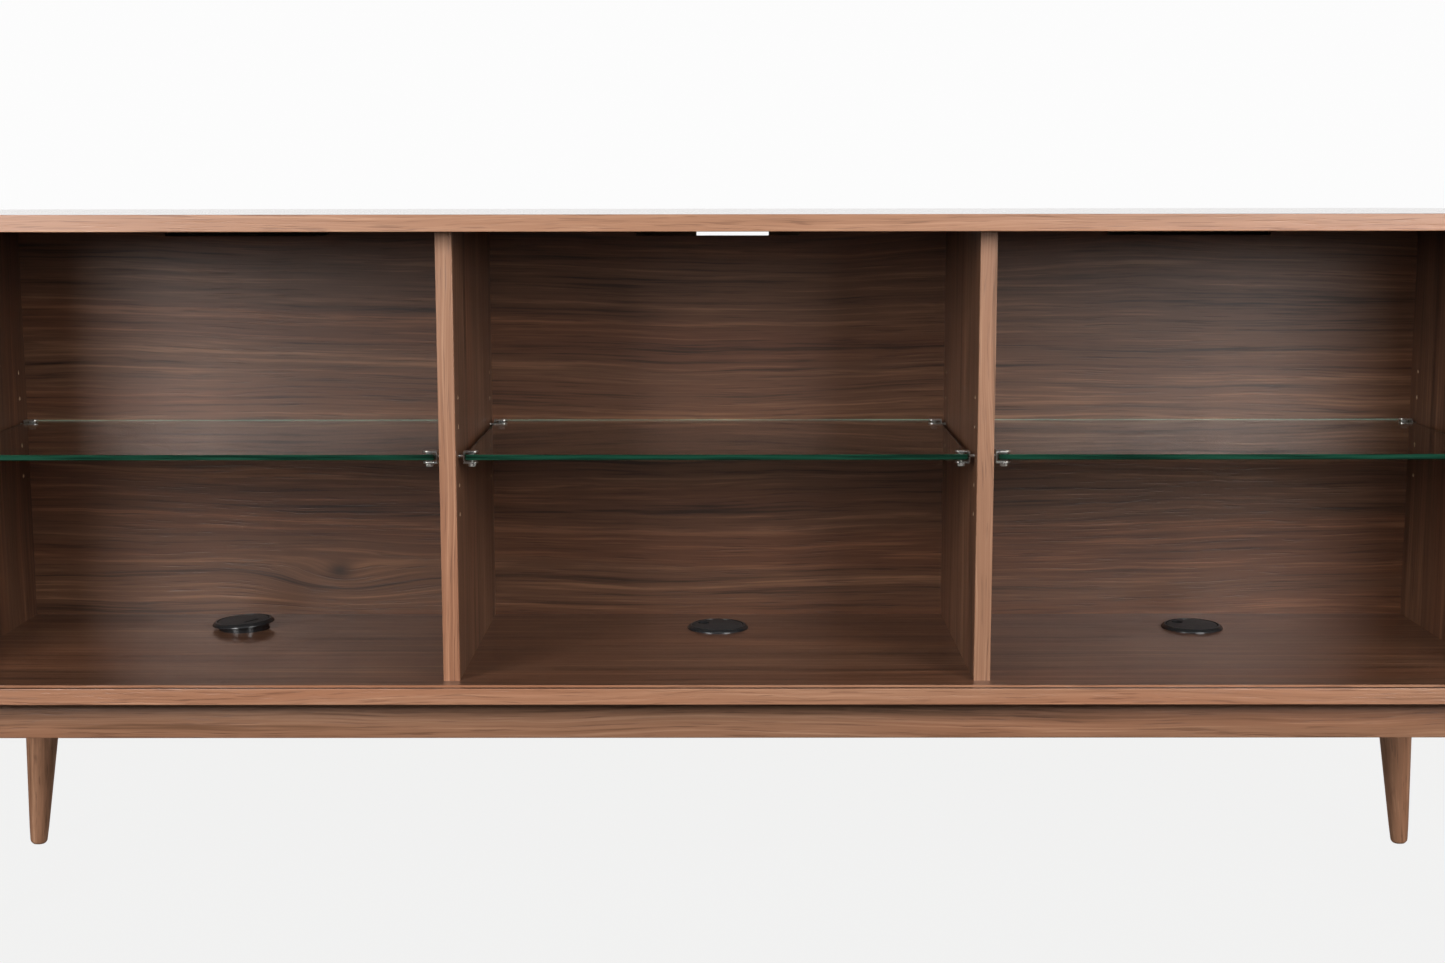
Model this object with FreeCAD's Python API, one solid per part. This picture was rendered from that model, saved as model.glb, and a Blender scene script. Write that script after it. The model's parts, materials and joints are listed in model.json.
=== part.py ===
import FreeCAD, Part
import math
import os
from FreeCAD import Placement, Rotation, Vector

# Three-bay sideboard with wrap-round tambour doors, glass shelves and splayed legs.
# Millimetres. Origin on the floor under the centre, +X right, +Y back, +Z up.
# The open front faces -Y. Both tambour doors are parked open, round the ends and the back.

# ---- driving dimensions: the whole piece ----
width = 1830.0
depth = 450.0
board = 18.0
floor_to_apron = 237.0
apron_height = 46.0
inner_height = 487.0

# ---- heights worked out from them ----
bottom_low = floor_to_apron + apron_height
bottom_top = bottom_low + board
top_low = bottom_top + inner_height
top_high = top_low + board
shelf_height = (bottom_top + top_low) / 2
half_width = width / 2
front = -depth / 2
rear = depth / 2

# ---- carcass ----
bay_width = 560.0
bay_pitch = bay_width + board
board_recess = 36.0
back_face_depth = 389.0
back_thickness = 12.0
edge_strip = 5.0
panel_corner_radius = 71.0
panel_edge_round = 1.0
strip_edge_round = 0.8
board_front = front + board_recess
back_front = front + back_face_depth
back_rear = back_front + back_thickness
inner_half_width = 1.5 * bay_width + board
end_outer = inner_half_width + board
divider_middle = bay_pitch / 2
bay_middles = (-bay_pitch, 0.0, bay_pitch)
bay_names = ("left", "centre", "right")
board_middles = (-(inner_half_width + board / 2), -divider_middle, divider_middle,
                 inner_half_width + board / 2)

# ---- slots along the top of the back ----
slot_width = 200.0
slot_height = 14.0

# ---- shelf pin holes ----
pin_hole_radius = 2.5
pin_hole_depth = 8.5
pin_hole_pitch = 32.0
pin_holes_each_side = 2
front_pin_y = board_front + 28.0
rear_pin_y = back_front - 24.0

# ---- dowels and screws in the carcass ----
dowel_radius = 4.0
dowel_length = 35.0
dowel_in_panel = 11.0
dowel_rows = (-150.0, -60.0, 30.0, 120.0)
back_screw_radius = 1.75
back_screw_length = 30.0
back_screw_head_radius = 3.5
back_screw_head_height = 2.2
back_screw_head_round = 1.0
back_screw_heights = (345.0, 475.0, 610.0, 740.0)

# ---- plinth under the carcass ----
apron_thickness = 18.0
apron_front_recess = 35.0
apron_side_recess = 24.0
cross_rail_thickness = 20.0
cross_rail_height = 38.0
cross_rail_places = (-300.0, 300.0)

# ---- legs ----
foot_inset_side = 42.0
foot_inset_front = 52.0
leg_splay_slope = 0.1138
leg_length = 265.0
leg_foot_radius = 10.6
leg_taper = 0.0608
leg_tip_round = 6.0
leg_foot_clear = 1.2
leg_hole_radius = 4.0
leg_hole_depth = 36.0
leg_block_size = 78.0
glide_radius = 7.0
glide_height = 3.0
insert_radius = 6.0
insert_length = 15.0
bolt_end_gap = 2.0
block_screw_radius = 2.0
block_screw_spread = 32.0
block_screw_head_radius = 4.0
block_screw_head_height = 2.5
block_screw_head_sink = 1.0
block_screw_cover = 5.0

# ---- tambour doors and their track ----
groove_lip = 6.0
groove_width = 10.0
groove_depth = 8.0
canvas_inset = 14.5
canvas_thickness = 0.6
canvas_margin = 9.0
canvas_end_gap = 0.5
slat_pitch = 18.9
slat_width = 18.5
slat_thickness = 7.0
slat_corner_round = 1.6
slat_count = 64
slat_play = 1.0
loose_slat_width = 17.4
stile_width = 28.0
stile_tongue_width = 20.0
stile_extra_thickness = 7.0
stile_side_gap = 2.0
finger_cove_radius = 5.0
finger_cove_depth = 3.5
finger_cove_margin = 20.0
left_door_end = 26.5
right_door_end = 63.5
left_loose_slats = (0, 24, 25)
right_loose_slats = (0, 1)

# ---- glass shelves and their clamps ----
glass_thickness = 6.0
glass_side_gap = 7.0
glass_front_y = front + 52.0
glass_rear_gap = 2.0
glass_corner_radius = 3.0
glass_arris = 0.6
pad_thickness = 1.0
pad_gap = 0.15
jaw_thickness = 1.8
jaw_reach = 21.0
jaw_width = 10.0
clamp_stand_off = 5.0
clamp_web = 1.6
clamp_pin_neck = 1.7
clamp_pin_plug = 2.45
clamp_plug_length = 8.0
thumb_radius = 4.0
thumb_height = 3.4
thumb_shaft_radius = 2.0
thumb_clearance = 0.06
thumb_axis_reach = 14.0
thumb_drop = 1.2
lower_pad_height = 1.6
thumb_slot_width = 1.0
thumb_slot_depth = 1.0

# ---- cable grommets ----
grommet_y = front + 308.0
grommet_hole_radius = 30.8
liner_radius = 30.0
liner_wall = 1.8
liner_depth = 17.0
flange_radius = 37.0
flange_top_radius = 33.0
flange_height = 4.5
flange_edge = 0.8
cap_radius = 30.4
cap_clearance = 0.4
cap_thickness = 2.5
cap_drop = 0.4
cap_seat_gap = 0.2
cap_edge_round = 0.6
cable_hole_radius = 7.0
cable_hole_offset = 20.0
cable_hole_angles = {"centre": 150.0, "right": 140.0}
finger_slot_length = 22.0
finger_slot_width = 4.5
finger_slot_offset = 16.0
finger_slot_angle = -41.0
left_grommet_shift = -0.6
left_grommet_lift = 6.5
left_grommet_tilt = -3.5

parts_folder = "parts"


def block(x0, x1, y0, y1, z0, z1):
    return Part.makeBox(x1 - x0, y1 - y0, z1 - z0, Vector(x0, y0, z0))


def rod(radius, start, end):
    along = end.sub(start)
    return Part.makeCylinder(radius, along.Length, start, along)


def group(shapes):
    return Part.makeCompound(shapes)


def outline_prism(points, z0, z1):
    corners = [Vector(x, y, z0) for x, y in points]
    corners.append(corners[0])
    return Part.Face(Part.makePolygon(corners)).extrude(Vector(0, 0, z1 - z0))


def rounded_slab(half_x, half_y, radius, z0, z1):
    """A flat slab centred on the origin with rounded upright corners."""
    bulge = radius * (1 - math.sqrt(0.5))
    edges = []
    for sx, sy in ((1, 1), (-1, 1), (-1, -1), (1, -1)):
        near_x = Vector(sx * half_x, sy * (half_y - radius), z0)
        near_y = Vector(sx * (half_x - radius), sy * half_y, z0)
        middle = Vector(sx * (half_x - bulge), sy * (half_y - bulge), z0)
        if sx * sy > 0:
            edges.append((near_x, middle, near_y))
        else:
            edges.append((near_y, middle, near_x))
    wire = []
    for index, (start, middle, end) in enumerate(edges):
        wire.append(Part.Arc(start, middle, end).toShape())
        following = edges[(index + 1) % len(edges)][0]
        wire.append(Part.makeLine(end, following))
    return Part.Face(Part.Wire(wire)).extrude(Vector(0, 0, z1 - z0))


def panel_slab(inset, z0, z1):
    return rounded_slab(half_width - inset, depth / 2 - inset, panel_corner_radius - inset, z0, z1)


def ring(outer_inset, inner_inset, z0, z1):
    return panel_slab(outer_inset, z0, z1).cut(panel_slab(inner_inset, z0, z1))


def rounded_rim(solid, radius, heights):
    """Rounds the long edges of a slab's outline at the given heights."""
    rims = []
    for edge in solid.Edges:
        box = edge.BoundBox
        flat = box.ZLength < 0.01 and min(abs(box.ZMin - height) for height in heights) < 0.01
        outer = (box.XMax > half_width - panel_corner_radius - 1
                 or box.XMin < panel_corner_radius - half_width + 1
                 or abs(box.YMin) > depth / 2 - 0.01)
        on_outline = (abs(abs(box.YMin) - depth / 2) < 0.01 or abs(abs(box.YMax) - depth / 2) < 0.01
                      or abs(abs(box.XMin) - half_width) < 0.01
                      or abs(abs(box.XMax) - half_width) < 0.01)
        if flat and outer and on_outline:
            rims.append(edge)
    return solid.makeFillet(radius, rims)


def dowel(middle_x, y, panel_face, towards):
    """One dowel standing in a panel and in the board that meets it."""
    start = Vector(middle_x, y, panel_face - towards * dowel_in_panel)
    end = Vector(middle_x, y, panel_face + towards * (dowel_length - dowel_in_panel))
    return rod(dowel_radius, start, end)


def all_dowels():
    dowels = []
    for middle_x in board_middles:
        for y in dowel_rows:
            dowels.append(dowel(middle_x, y, bottom_top, 1))
            dowels.append(dowel(middle_x, y, top_low, -1))
    return dowels


def top_panel(dowels):
    slab = rounded_rim(panel_slab(0.0, top_low, top_high), panel_edge_round, (top_low, top_high))
    groove = ring(groove_lip, groove_lip + groove_width, top_low - 1, top_low + groove_depth)
    return slab.cut(groove).cut(group(dowels))


def bottom_panel(dowels, block_screws):
    slab = rounded_rim(panel_slab(0.0, bottom_low, bottom_top), panel_edge_round,
                       (bottom_low, bottom_top))
    groove = ring(groove_lip, groove_lip + groove_width, bottom_top - groove_depth, bottom_top + 1)
    holes = [Part.makeCylinder(grommet_hole_radius, board + 2, Vector(x, grommet_y, bottom_low - 1))
             for x in bay_middles]
    return slab.cut(groove).cut(group(holes)).cut(group(dowels)).cut(group(block_screws))


def pin_hole_heights():
    steps = range(-pin_holes_each_side, pin_holes_each_side + 1)
    return [shelf_height + step * pin_hole_pitch for step in steps]


def pin_holes(face_x, inwards):
    """Shelf pin holes in the upright face at face_x, drilled along inwards."""
    holes = []
    for y in (front_pin_y, rear_pin_y):
        for z in pin_hole_heights():
            start = Vector(face_x - inwards, y, z)
            end = Vector(face_x + inwards * pin_hole_depth, y, z)
            holes.append(rod(pin_hole_radius, start, end))
    return holes


def upright_board(middle_x, pin_faces, fasteners):
    board_body = block(middle_x - board / 2, middle_x + board / 2, board_front + edge_strip,
                       back_front, bottom_top, top_low)
    holes = list(fasteners)
    for side in pin_faces:
        holes.extend(pin_holes(middle_x + side * board / 2, -side))
    return board_body.cut(group(holes))


def upright_edge_strip(middle_x):
    strip = block(middle_x - board / 2, middle_x + board / 2, board_front, board_front + edge_strip,
                  bottom_top, top_low)
    corners = [edge for edge in strip.Edges
               if edge.BoundBox.YMax < board_front + 0.01 and edge.BoundBox.ZLength > 1]
    return strip.makeFillet(strip_edge_round, corners)


def back_screw(x, z):
    shank = rod(back_screw_radius, Vector(x, back_rear, z),
                Vector(x, back_rear - back_screw_length, z))
    head = rod(back_screw_head_radius, Vector(x, back_rear, z),
               Vector(x, back_rear + back_screw_head_height, z))
    rim = [edge for edge in head.Edges
           if edge.BoundBox.YMin > back_rear + back_screw_head_height - 0.01]
    return shank.fuse(head.makeFillet(back_screw_head_round, rim)).removeSplitter()


def all_back_screws():
    return [back_screw(x, z) for x in board_middles for z in back_screw_heights]


def back_panel(screws):
    sheet = block(-end_outer, end_outer, back_front, back_rear, bottom_top, top_low)
    slots = [block(x - slot_width / 2, x + slot_width / 2, back_front - 1, back_rear + 1,
                   top_low - slot_height, top_low + 1) for x in bay_middles]
    return sheet.cut(group(slots)).cut(group(screws))


def apron_long(side):
    """Front (side -1) or rear (side 1) board of the plinth, with mitred ends."""
    outer_x = half_width - apron_side_recess
    outer_y = side * (depth / 2 - apron_front_recess)
    inner_x = outer_x - apron_thickness
    inner_y = outer_y - side * apron_thickness
    points = [(-outer_x, outer_y), (outer_x, outer_y), (inner_x, inner_y), (-inner_x, inner_y)]
    return outline_prism(points, floor_to_apron, bottom_low)


def apron_short(side):
    outer_x = side * (half_width - apron_side_recess)
    outer_y = depth / 2 - apron_front_recess
    inner_x = outer_x - side * apron_thickness
    inner_y = outer_y - apron_thickness
    points = [(outer_x, -outer_y), (outer_x, outer_y), (inner_x, inner_y), (inner_x, -inner_y)]
    return outline_prism(points, floor_to_apron, bottom_low)


def apron_cross_rails():
    reach = depth / 2 - apron_front_recess - apron_thickness
    return [block(x - cross_rail_thickness / 2, x + cross_rail_thickness / 2, -reach, reach,
                  bottom_low - cross_rail_height, bottom_low) for x in cross_rail_places]


def foot_centre(sx, sy):
    return Vector(sx * (half_width - foot_inset_side), sy * (depth / 2 - foot_inset_front), 0)


def leg_direction(sx, sy):
    along = Vector(-sx * leg_splay_slope, -sy * leg_splay_slope, 1)
    return along.normalize()


def leg_placement(sx, sy):
    return Placement(foot_centre(sx, sy), Rotation(Vector(0, 0, 1), leg_direction(sx, sy)))


def leg_radius(height):
    return leg_foot_radius + leg_taper * height


def leg(sx, sy, fixings):
    """A turned leg: a long cone with a rounded foot, standing on its splayed axis."""
    flat = leg_foot_radius - leg_tip_round
    shoulder = leg_radius(leg_tip_round)
    lean = leg_tip_round * (1 - math.sqrt(0.5))
    tip = Part.Arc(Vector(flat, 0, 0), Vector(shoulder - lean, 0, lean),
                   Vector(shoulder, 0, leg_tip_round)).toShape()
    corners = [Vector(shoulder, 0, leg_tip_round), Vector(leg_radius(leg_length), 0, leg_length),
               Vector(0, 0, leg_length), Vector(0, 0, 0), Vector(flat, 0, 0)]
    sides = [Part.makeLine(a, b) for a, b in zip(corners, corners[1:])]
    profile = Part.Face(Part.Wire([tip] + sides))
    body = profile.revolve(Vector(0, 0, 0), Vector(0, 0, 1), 360)
    body.Placement = leg_placement(sx, sy)
    foot = foot_centre(sx, sy)
    reach = 3 * leg_foot_radius
    below = block(foot.x - reach, foot.x + reach, foot.y - reach, foot.y + reach, -reach,
                  leg_foot_clear)
    return body.cut(group(list(fixings) + [below]))


def foot_glide(sx, sy):
    centre = foot_centre(sx, sy)
    return Part.makeCylinder(glide_radius, glide_height, centre)


def leg_top(sx, sy):
    return foot_centre(sx, sy).add(leg_direction(sx, sy).multiply(leg_length))


def block_centre(sx, sy):
    """Plan centre of a leg's wedge block, kept inside the plinth boards."""
    top = leg_top(sx, sy)
    half = leg_block_size / 2
    room_x = half_width - apron_side_recess - apron_thickness - half
    room_y = depth / 2 - apron_front_recess - apron_thickness - half
    return Vector(sx * min(abs(top.x), room_x), sy * min(abs(top.y), room_y), 0)


def leg_block(sx, sy, fixings):
    """Hardwood wedge glued under the carcass; its sloping face is square to the leg."""
    centre = block_centre(sx, sy)
    half = leg_block_size / 2
    blank = block(centre.x - half, centre.x + half, centre.y - half, centre.y + half,
                  floor_to_apron, bottom_low)
    leg_space = Part.makeBox(4 * half, 4 * half, leg_length, Vector(-2 * half, -2 * half, 0))
    leg_space.Placement = leg_placement(sx, sy)
    return blank.cut(leg_space).cut(group(fixings))


def along_leg(sx, sy, radius, start, end):
    axis = leg_direction(sx, sy)
    foot = foot_centre(sx, sy)
    return rod(radius, foot.add(Vector(axis).multiply(start)), foot.add(Vector(axis).multiply(end)))


def hanger_bolt(sx, sy):
    return along_leg(sx, sy, leg_hole_radius, leg_length - leg_hole_depth,
                     leg_length + insert_length - bolt_end_gap)


def insert_body(sx, sy):
    return along_leg(sx, sy, insert_radius, leg_length, leg_length + insert_length)


def block_face_height(sx, sy, x, y):
    """Height of the wedge's sloping face above the floor at a point in plan."""
    axis = leg_direction(sx, sy)
    top = leg_top(sx, sy)
    return top.z - (axis.x * (x - top.x) + axis.y * (y - top.y)) / axis.z


def block_screw(sx, sy, dx, dy):
    """One of the four screws that hold a wedge block up against the bottom panel."""
    place = block_centre(sx, sy).add(Vector(dx, dy, 0).multiply(block_screw_spread))
    face = Vector(place.x, place.y, block_face_height(sx, sy, place.x, place.y))
    tip = Vector(place.x, place.y, bottom_top - block_screw_cover)
    head = rod(block_screw_head_radius, face.sub(Vector(0, 0, block_screw_head_height)),
               face.add(Vector(0, 0, block_screw_head_sink)))
    return rod(block_screw_radius, face, tip).fuse(head).removeSplitter()


def door_path(distance):
    """A point on the canvas line of the right-hand door, its outward direction included.

    The distance runs from the middle of the back, round the right end, to the front.
    """
    half_x = half_width - canvas_inset
    half_y = depth / 2 - canvas_inset
    radius = panel_corner_radius - canvas_inset
    long_run = half_x - radius
    corner_run = radius * math.pi / 2
    side_run = 2 * (half_y - radius)
    if distance <= long_run:
        return Vector(distance, half_y, 0), 90.0
    distance -= long_run
    if distance <= corner_run:
        turn = distance / radius
        centre = Vector(long_run, half_y - radius, 0)
        return centre.add(Vector(math.sin(turn), math.cos(turn), 0).multiply(radius)), \
            90.0 - math.degrees(turn)
    distance -= corner_run
    if distance <= side_run:
        return Vector(half_x, half_y - radius - distance, 0), 0.0
    distance -= side_run
    if distance <= corner_run:
        turn = distance / radius
        centre = Vector(long_run, radius - half_y, 0)
        return centre.add(Vector(math.cos(turn), -math.sin(turn), 0).multiply(radius)), \
            -math.degrees(turn)
    distance -= corner_run
    return Vector(long_run - distance, -half_y, 0), -90.0


def placed_on_path(solid, distance):
    """Moves a piece drawn with +X outwards and +Y along the track to its place on the door."""
    point, outward = door_path(distance)
    solid.Placement = Placement(point, Rotation(Vector(0, 0, 1), outward))
    return solid


def slat(slat_face_width, distance):
    half = slat_face_width / 2
    z0 = bottom_top - groove_depth + slat_play
    z1 = top_low + groove_depth - slat_play
    shape = block(0, slat_thickness, -half, half, z0, z1)
    corners = [edge for edge in shape.Edges
               if edge.BoundBox.ZLength > 1 and edge.BoundBox.XMin > slat_thickness - 0.01]
    return placed_on_path(shape.makeFillet(slat_corner_round, corners), distance)


def mirrored(shape):
    return shape.mirror(Vector(0, 0, 0), Vector(1, 0, 0))


def door_slats(door_end, loose_slats):
    slats = []
    for index in range(slat_count):
        face_width = loose_slat_width if index in loose_slats else slat_width
        slats.append(slat(face_width, door_end + slat_pitch * (index + 0.5)))
    return slats


def lead_stile(door_end):
    """The stiff leading edge of a door, with a full-height finger cove."""
    middle = door_end + slat_pitch * slat_count + stile_width / 2
    half = stile_width / 2
    z0 = bottom_top - groove_depth + slat_play
    z1 = top_low + groove_depth - slat_play
    half_tongue = stile_tongue_width / 2
    tongue = block(0, slat_thickness, -half_tongue, half_tongue, z0, z1)
    body = block(-stile_extra_thickness, slat_thickness, -half, half, bottom_top + stile_side_gap,
                 top_low - stile_side_gap)
    cove_x = slat_thickness - finger_cove_depth + finger_cove_radius
    cove_low = bottom_top + stile_side_gap + finger_cove_margin
    cove_length = inner_height - 2 * (stile_side_gap + finger_cove_margin)
    cove = Part.makeCylinder(finger_cove_radius, cove_length, Vector(cove_x, -half / 2, cove_low))
    shape = tongue.fuse(body).removeSplitter().cut(cove)
    return placed_on_path(shape, middle)


def door_canvas(door_end):
    """The cloth glued to the inner faces of the slats, from the first to the last."""
    ribbon = ring(canvas_inset, canvas_inset + canvas_thickness, bottom_top + canvas_margin,
                  top_low - canvas_margin)
    canvas_end = door_end + slat_pitch * slat_count - canvas_end_gap
    past_the_end = placed_on_path(block(-width, width, -width, 0, 0, top_high), canvas_end)
    rear_part = block(door_end, half_width, 0, rear, 0, top_high)
    front_part = block(0, half_width, front, 0, 0, top_high).cut(past_the_end)
    return ribbon.common(rear_part.fuse(front_part).removeSplitter())


def glass_shelf(middle_x):
    half = bay_width / 2 - glass_side_gap
    z0 = shelf_height - glass_thickness / 2
    pane = block(middle_x - half, middle_x + half, glass_front_y, back_front - glass_rear_gap,
                 z0, z0 + glass_thickness)
    corners = [edge for edge in pane.Edges if edge.BoundBox.ZLength > 1]
    pane = pane.makeFillet(glass_corner_radius, corners)
    rims = [edge for edge in pane.Edges if edge.BoundBox.ZLength < 0.01]
    return pane.makeChamfer(glass_arris, rims)


def clamp_levels():
    """Heights of the clamp's faces, from the top of its upper jaw to its thumb screw."""
    glass_top = shelf_height + glass_thickness / 2
    glass_low = shelf_height - glass_thickness / 2
    levels = {"upper_pad_low": glass_top + pad_gap}
    levels["upper_jaw_low"] = levels["upper_pad_low"] + pad_thickness
    levels["upper_jaw_top"] = levels["upper_jaw_low"] + jaw_thickness
    levels["lower_pad_top"] = glass_low - pad_gap
    levels["lower_pad_low"] = levels["lower_pad_top"] - lower_pad_height
    levels["lower_jaw_top"] = levels["lower_pad_low"] - thumb_drop
    levels["lower_jaw_low"] = levels["lower_jaw_top"] - jaw_thickness
    levels["thumb_top"] = levels["lower_jaw_low"] - pad_gap
    levels["thumb_low"] = levels["thumb_top"] - thumb_height
    return levels


def jaw(face_x, into_bay, y, z0, z1):
    """A flat jaw with a round nose, seen from above as a short tongue."""
    nose_x = face_x + into_bay * (jaw_reach - jaw_width / 2)
    heel_x = face_x + into_bay * clamp_stand_off
    xs = sorted((nose_x, heel_x))
    plate = block(xs[0], xs[1], y - jaw_width / 2, y + jaw_width / 2, z0, z1)
    nose = Part.makeCylinder(jaw_width / 2, z1 - z0, Vector(nose_x, y, z0))
    return plate.fuse(nose).removeSplitter()


def shelf_clamp(face_x, into_bay, y):
    """A C-shaped clamp plugged into a pin hole, with a tapped hole for its thumb screw."""
    levels = clamp_levels()
    upper = jaw(face_x, into_bay, y, levels["upper_jaw_low"], levels["upper_jaw_top"])
    lower = jaw(face_x, into_bay, y, levels["lower_jaw_low"], levels["lower_jaw_top"])
    heel = face_x + into_bay * clamp_stand_off
    xs = sorted((heel, heel + into_bay * clamp_web))
    web = block(xs[0], xs[1], y - jaw_width / 2, y + jaw_width / 2, levels["lower_jaw_low"],
                levels["upper_jaw_top"])
    neck = rod(clamp_pin_neck, Vector(face_x - into_bay, y, shelf_height),
               Vector(heel, y, shelf_height))
    plug = rod(clamp_pin_plug, Vector(face_x - into_bay * clamp_plug_length, y, shelf_height),
               Vector(face_x, y, shelf_height))
    thumb_x = face_x + into_bay * thumb_axis_reach
    tapped = rod(thumb_shaft_radius + thumb_clearance, Vector(thumb_x, y, levels["lower_jaw_low"] - 1),
                 Vector(thumb_x, y, levels["lower_jaw_top"] + 1))
    return upper.fuse([lower, web, neck, plug]).removeSplitter().cut(tapped)


def clamp_pads(face_x, into_bay, y):
    levels = clamp_levels()
    thumb_x = face_x + into_bay * thumb_axis_reach
    upper = Part.makeCylinder(thumb_radius, pad_thickness, Vector(thumb_x, y, levels["upper_pad_low"]))
    lower = Part.makeCylinder(thumb_radius, lower_pad_height,
                              Vector(thumb_x, y, levels["lower_pad_low"]))
    return [upper, lower]


def thumb_screw(face_x, into_bay, y):
    levels = clamp_levels()
    thumb_x = face_x + into_bay * thumb_axis_reach
    shaft = rod(thumb_shaft_radius, Vector(thumb_x, y, levels["thumb_top"]),
                Vector(thumb_x, y, levels["lower_pad_low"] - pad_gap))
    head = Part.makeCylinder(thumb_radius, thumb_height, Vector(thumb_x, y, levels["thumb_low"]))
    slot = block(thumb_x - thumb_radius - 1, thumb_x + thumb_radius + 1, y - thumb_slot_width / 2,
                 y + thumb_slot_width / 2, levels["thumb_low"] - 1,
                 levels["thumb_low"] + thumb_slot_depth)
    return head.fuse(shaft).removeSplitter().cut(slot)


def clamp_places(middle_x):
    """Name, panel face, direction into the bay and depth of a bay's four clamps."""
    places = []
    for side_name, side in (("left", -1), ("right", 1)):
        face_x = middle_x + side * bay_width / 2
        for row_name, y in (("front", front_pin_y), ("rear", rear_pin_y)):
            places.append((side_name + "_" + row_name, face_x, -side, y))
    return places


def cap_top():
    return flange_height - cap_drop


def grommet_liner():
    """A flanged plastic sleeve, drawn with its seat on the plane z = 0."""
    seat_radius = cap_radius + cap_clearance
    seat_height = cap_top() - cap_thickness - cap_seat_gap
    profile = [(liner_radius, -liner_depth), (liner_radius, 0), (flange_radius, 0),
               (flange_radius, flange_edge), (flange_top_radius, flange_height),
               (seat_radius, flange_height), (seat_radius, seat_height),
               (liner_radius - liner_wall, seat_height), (liner_radius - liner_wall, -liner_depth)]
    points = [Vector(r, 0, z) for r, z in profile]
    points.append(points[0])
    return Part.Face(Part.makePolygon(points)).revolve(Vector(0, 0, 0), Vector(0, 0, 1), 360)


def cable_hole(angle):
    turn = math.radians(angle)
    return Part.makeCylinder(cable_hole_radius, flange_height + 1,
                             Vector(cable_hole_offset * math.cos(turn),
                                    cable_hole_offset * math.sin(turn), 0))


def finger_slot():
    """A round-ended slot across the radius, for lifting out a cap that has no cable hole."""
    radius = finger_slot_width / 2
    reach = finger_slot_length / 2 - radius
    height = flange_height + 1
    slot = block(finger_slot_offset - radius, finger_slot_offset + radius, -reach, reach, 0, height)
    for side in (-1, 1):
        slot = slot.fuse(Part.makeCylinder(radius, height, Vector(finger_slot_offset, side * reach, 0)))
    slot.rotate(Vector(0, 0, 0), Vector(0, 0, 1), finger_slot_angle)
    return slot.removeSplitter()


def grommet_cap(bay_name):
    """The turning cover disc, with a cable hole near its rim or a finger slot."""
    top = cap_top()
    disc = Part.makeCylinder(cap_radius, cap_thickness, Vector(0, 0, top - cap_thickness))
    rim = [edge for edge in disc.Edges
           if edge.BoundBox.ZLength < 0.01 and abs(edge.BoundBox.ZMax - top) < 0.01]
    disc = disc.makeFillet(cap_edge_round, rim)
    if bay_name in cable_hole_angles:
        return disc.cut(cable_hole(cable_hole_angles[bay_name]))
    return disc.cut(finger_slot())


def grommet_placement(bay_index):
    x = bay_middles[bay_index]
    if bay_names[bay_index] == "left":
        return Placement(Vector(x + left_grommet_shift, grommet_y, bottom_top + left_grommet_lift),
                         Rotation(Vector(0, 1, 0), left_grommet_tilt))
    return Placement(Vector(x, grommet_y, bottom_top), Rotation())


def moved(shape, placement):
    shape.Placement = placement
    return shape


def carcass_nodes():
    dowels = all_dowels()
    screws = all_back_screws()
    corners = [(sx, sy) for sy in (-1, 1) for sx in (-1, 1)]
    block_screws = [block_screw(sx, sy, dx, dy) for sx, sy in corners
                    for dx in (-1, 1) for dy in (-1, 1)]
    fasteners = dowels + screws
    nodes = {"top_panel": [top_panel(dowels)],
             "bottom_panel": [bottom_panel(dowels, block_screws)],
             "left_end_panel": [upright_board(board_middles[0], (1,), fasteners)],
             "left_divider": [upright_board(board_middles[1], (-1, 1), fasteners)],
             "right_divider": [upright_board(board_middles[2], (-1, 1), fasteners)],
             "right_end_panel": [upright_board(board_middles[3], (-1,), fasteners)],
             "divider_edge_strips": [upright_edge_strip(x) for x in board_middles[1:3]],
             "end_panel_edge_strips": [upright_edge_strip(x) for x in board_middles[0::3]],
             "back_panel": [back_panel(screws)],
             "front_apron": [apron_long(-1)],
             "rear_apron": [apron_long(1)],
             "left_apron": [apron_short(-1)],
             "right_apron": [apron_short(1)],
             "apron_cross_rails": apron_cross_rails(),
             "carcass_dowels": dowels,
             "back_screws": screws,
             "leg_block_screws": block_screws}
    blocks = []
    for sx, sy in corners:
        fixings = [insert_body(sx, sy), hanger_bolt(sx, sy)] + block_screws
        blocks.append(leg_block(sx, sy, fixings))
        name = ("front" if sy < 0 else "rear") + "_" + ("left" if sx < 0 else "right") + "_leg"
        nodes[name] = [leg(sx, sy, [hanger_bolt(sx, sy), foot_glide(sx, sy)])]
    nodes["leg_blocks"] = blocks
    nodes["leg_inserts"] = [insert_body(sx, sy).cut(hanger_bolt(sx, sy)) for sx, sy in corners]
    nodes["leg_hanger_bolts"] = [hanger_bolt(sx, sy) for sx, sy in corners]
    nodes["foot_glides"] = [foot_glide(sx, sy) for sx, sy in corners]
    return nodes


def door_nodes():
    left_slats = [mirrored(piece) for piece in door_slats(left_door_end, left_loose_slats)]
    return {"left_tambour_slats": left_slats,
            "right_tambour_slats": door_slats(right_door_end, right_loose_slats),
            "left_tambour_canvas": [mirrored(door_canvas(left_door_end))],
            "right_tambour_canvas": [door_canvas(right_door_end)],
            "left_lead_stile": [mirrored(lead_stile(left_door_end))],
            "right_lead_stile": [lead_stile(right_door_end)]}


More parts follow.
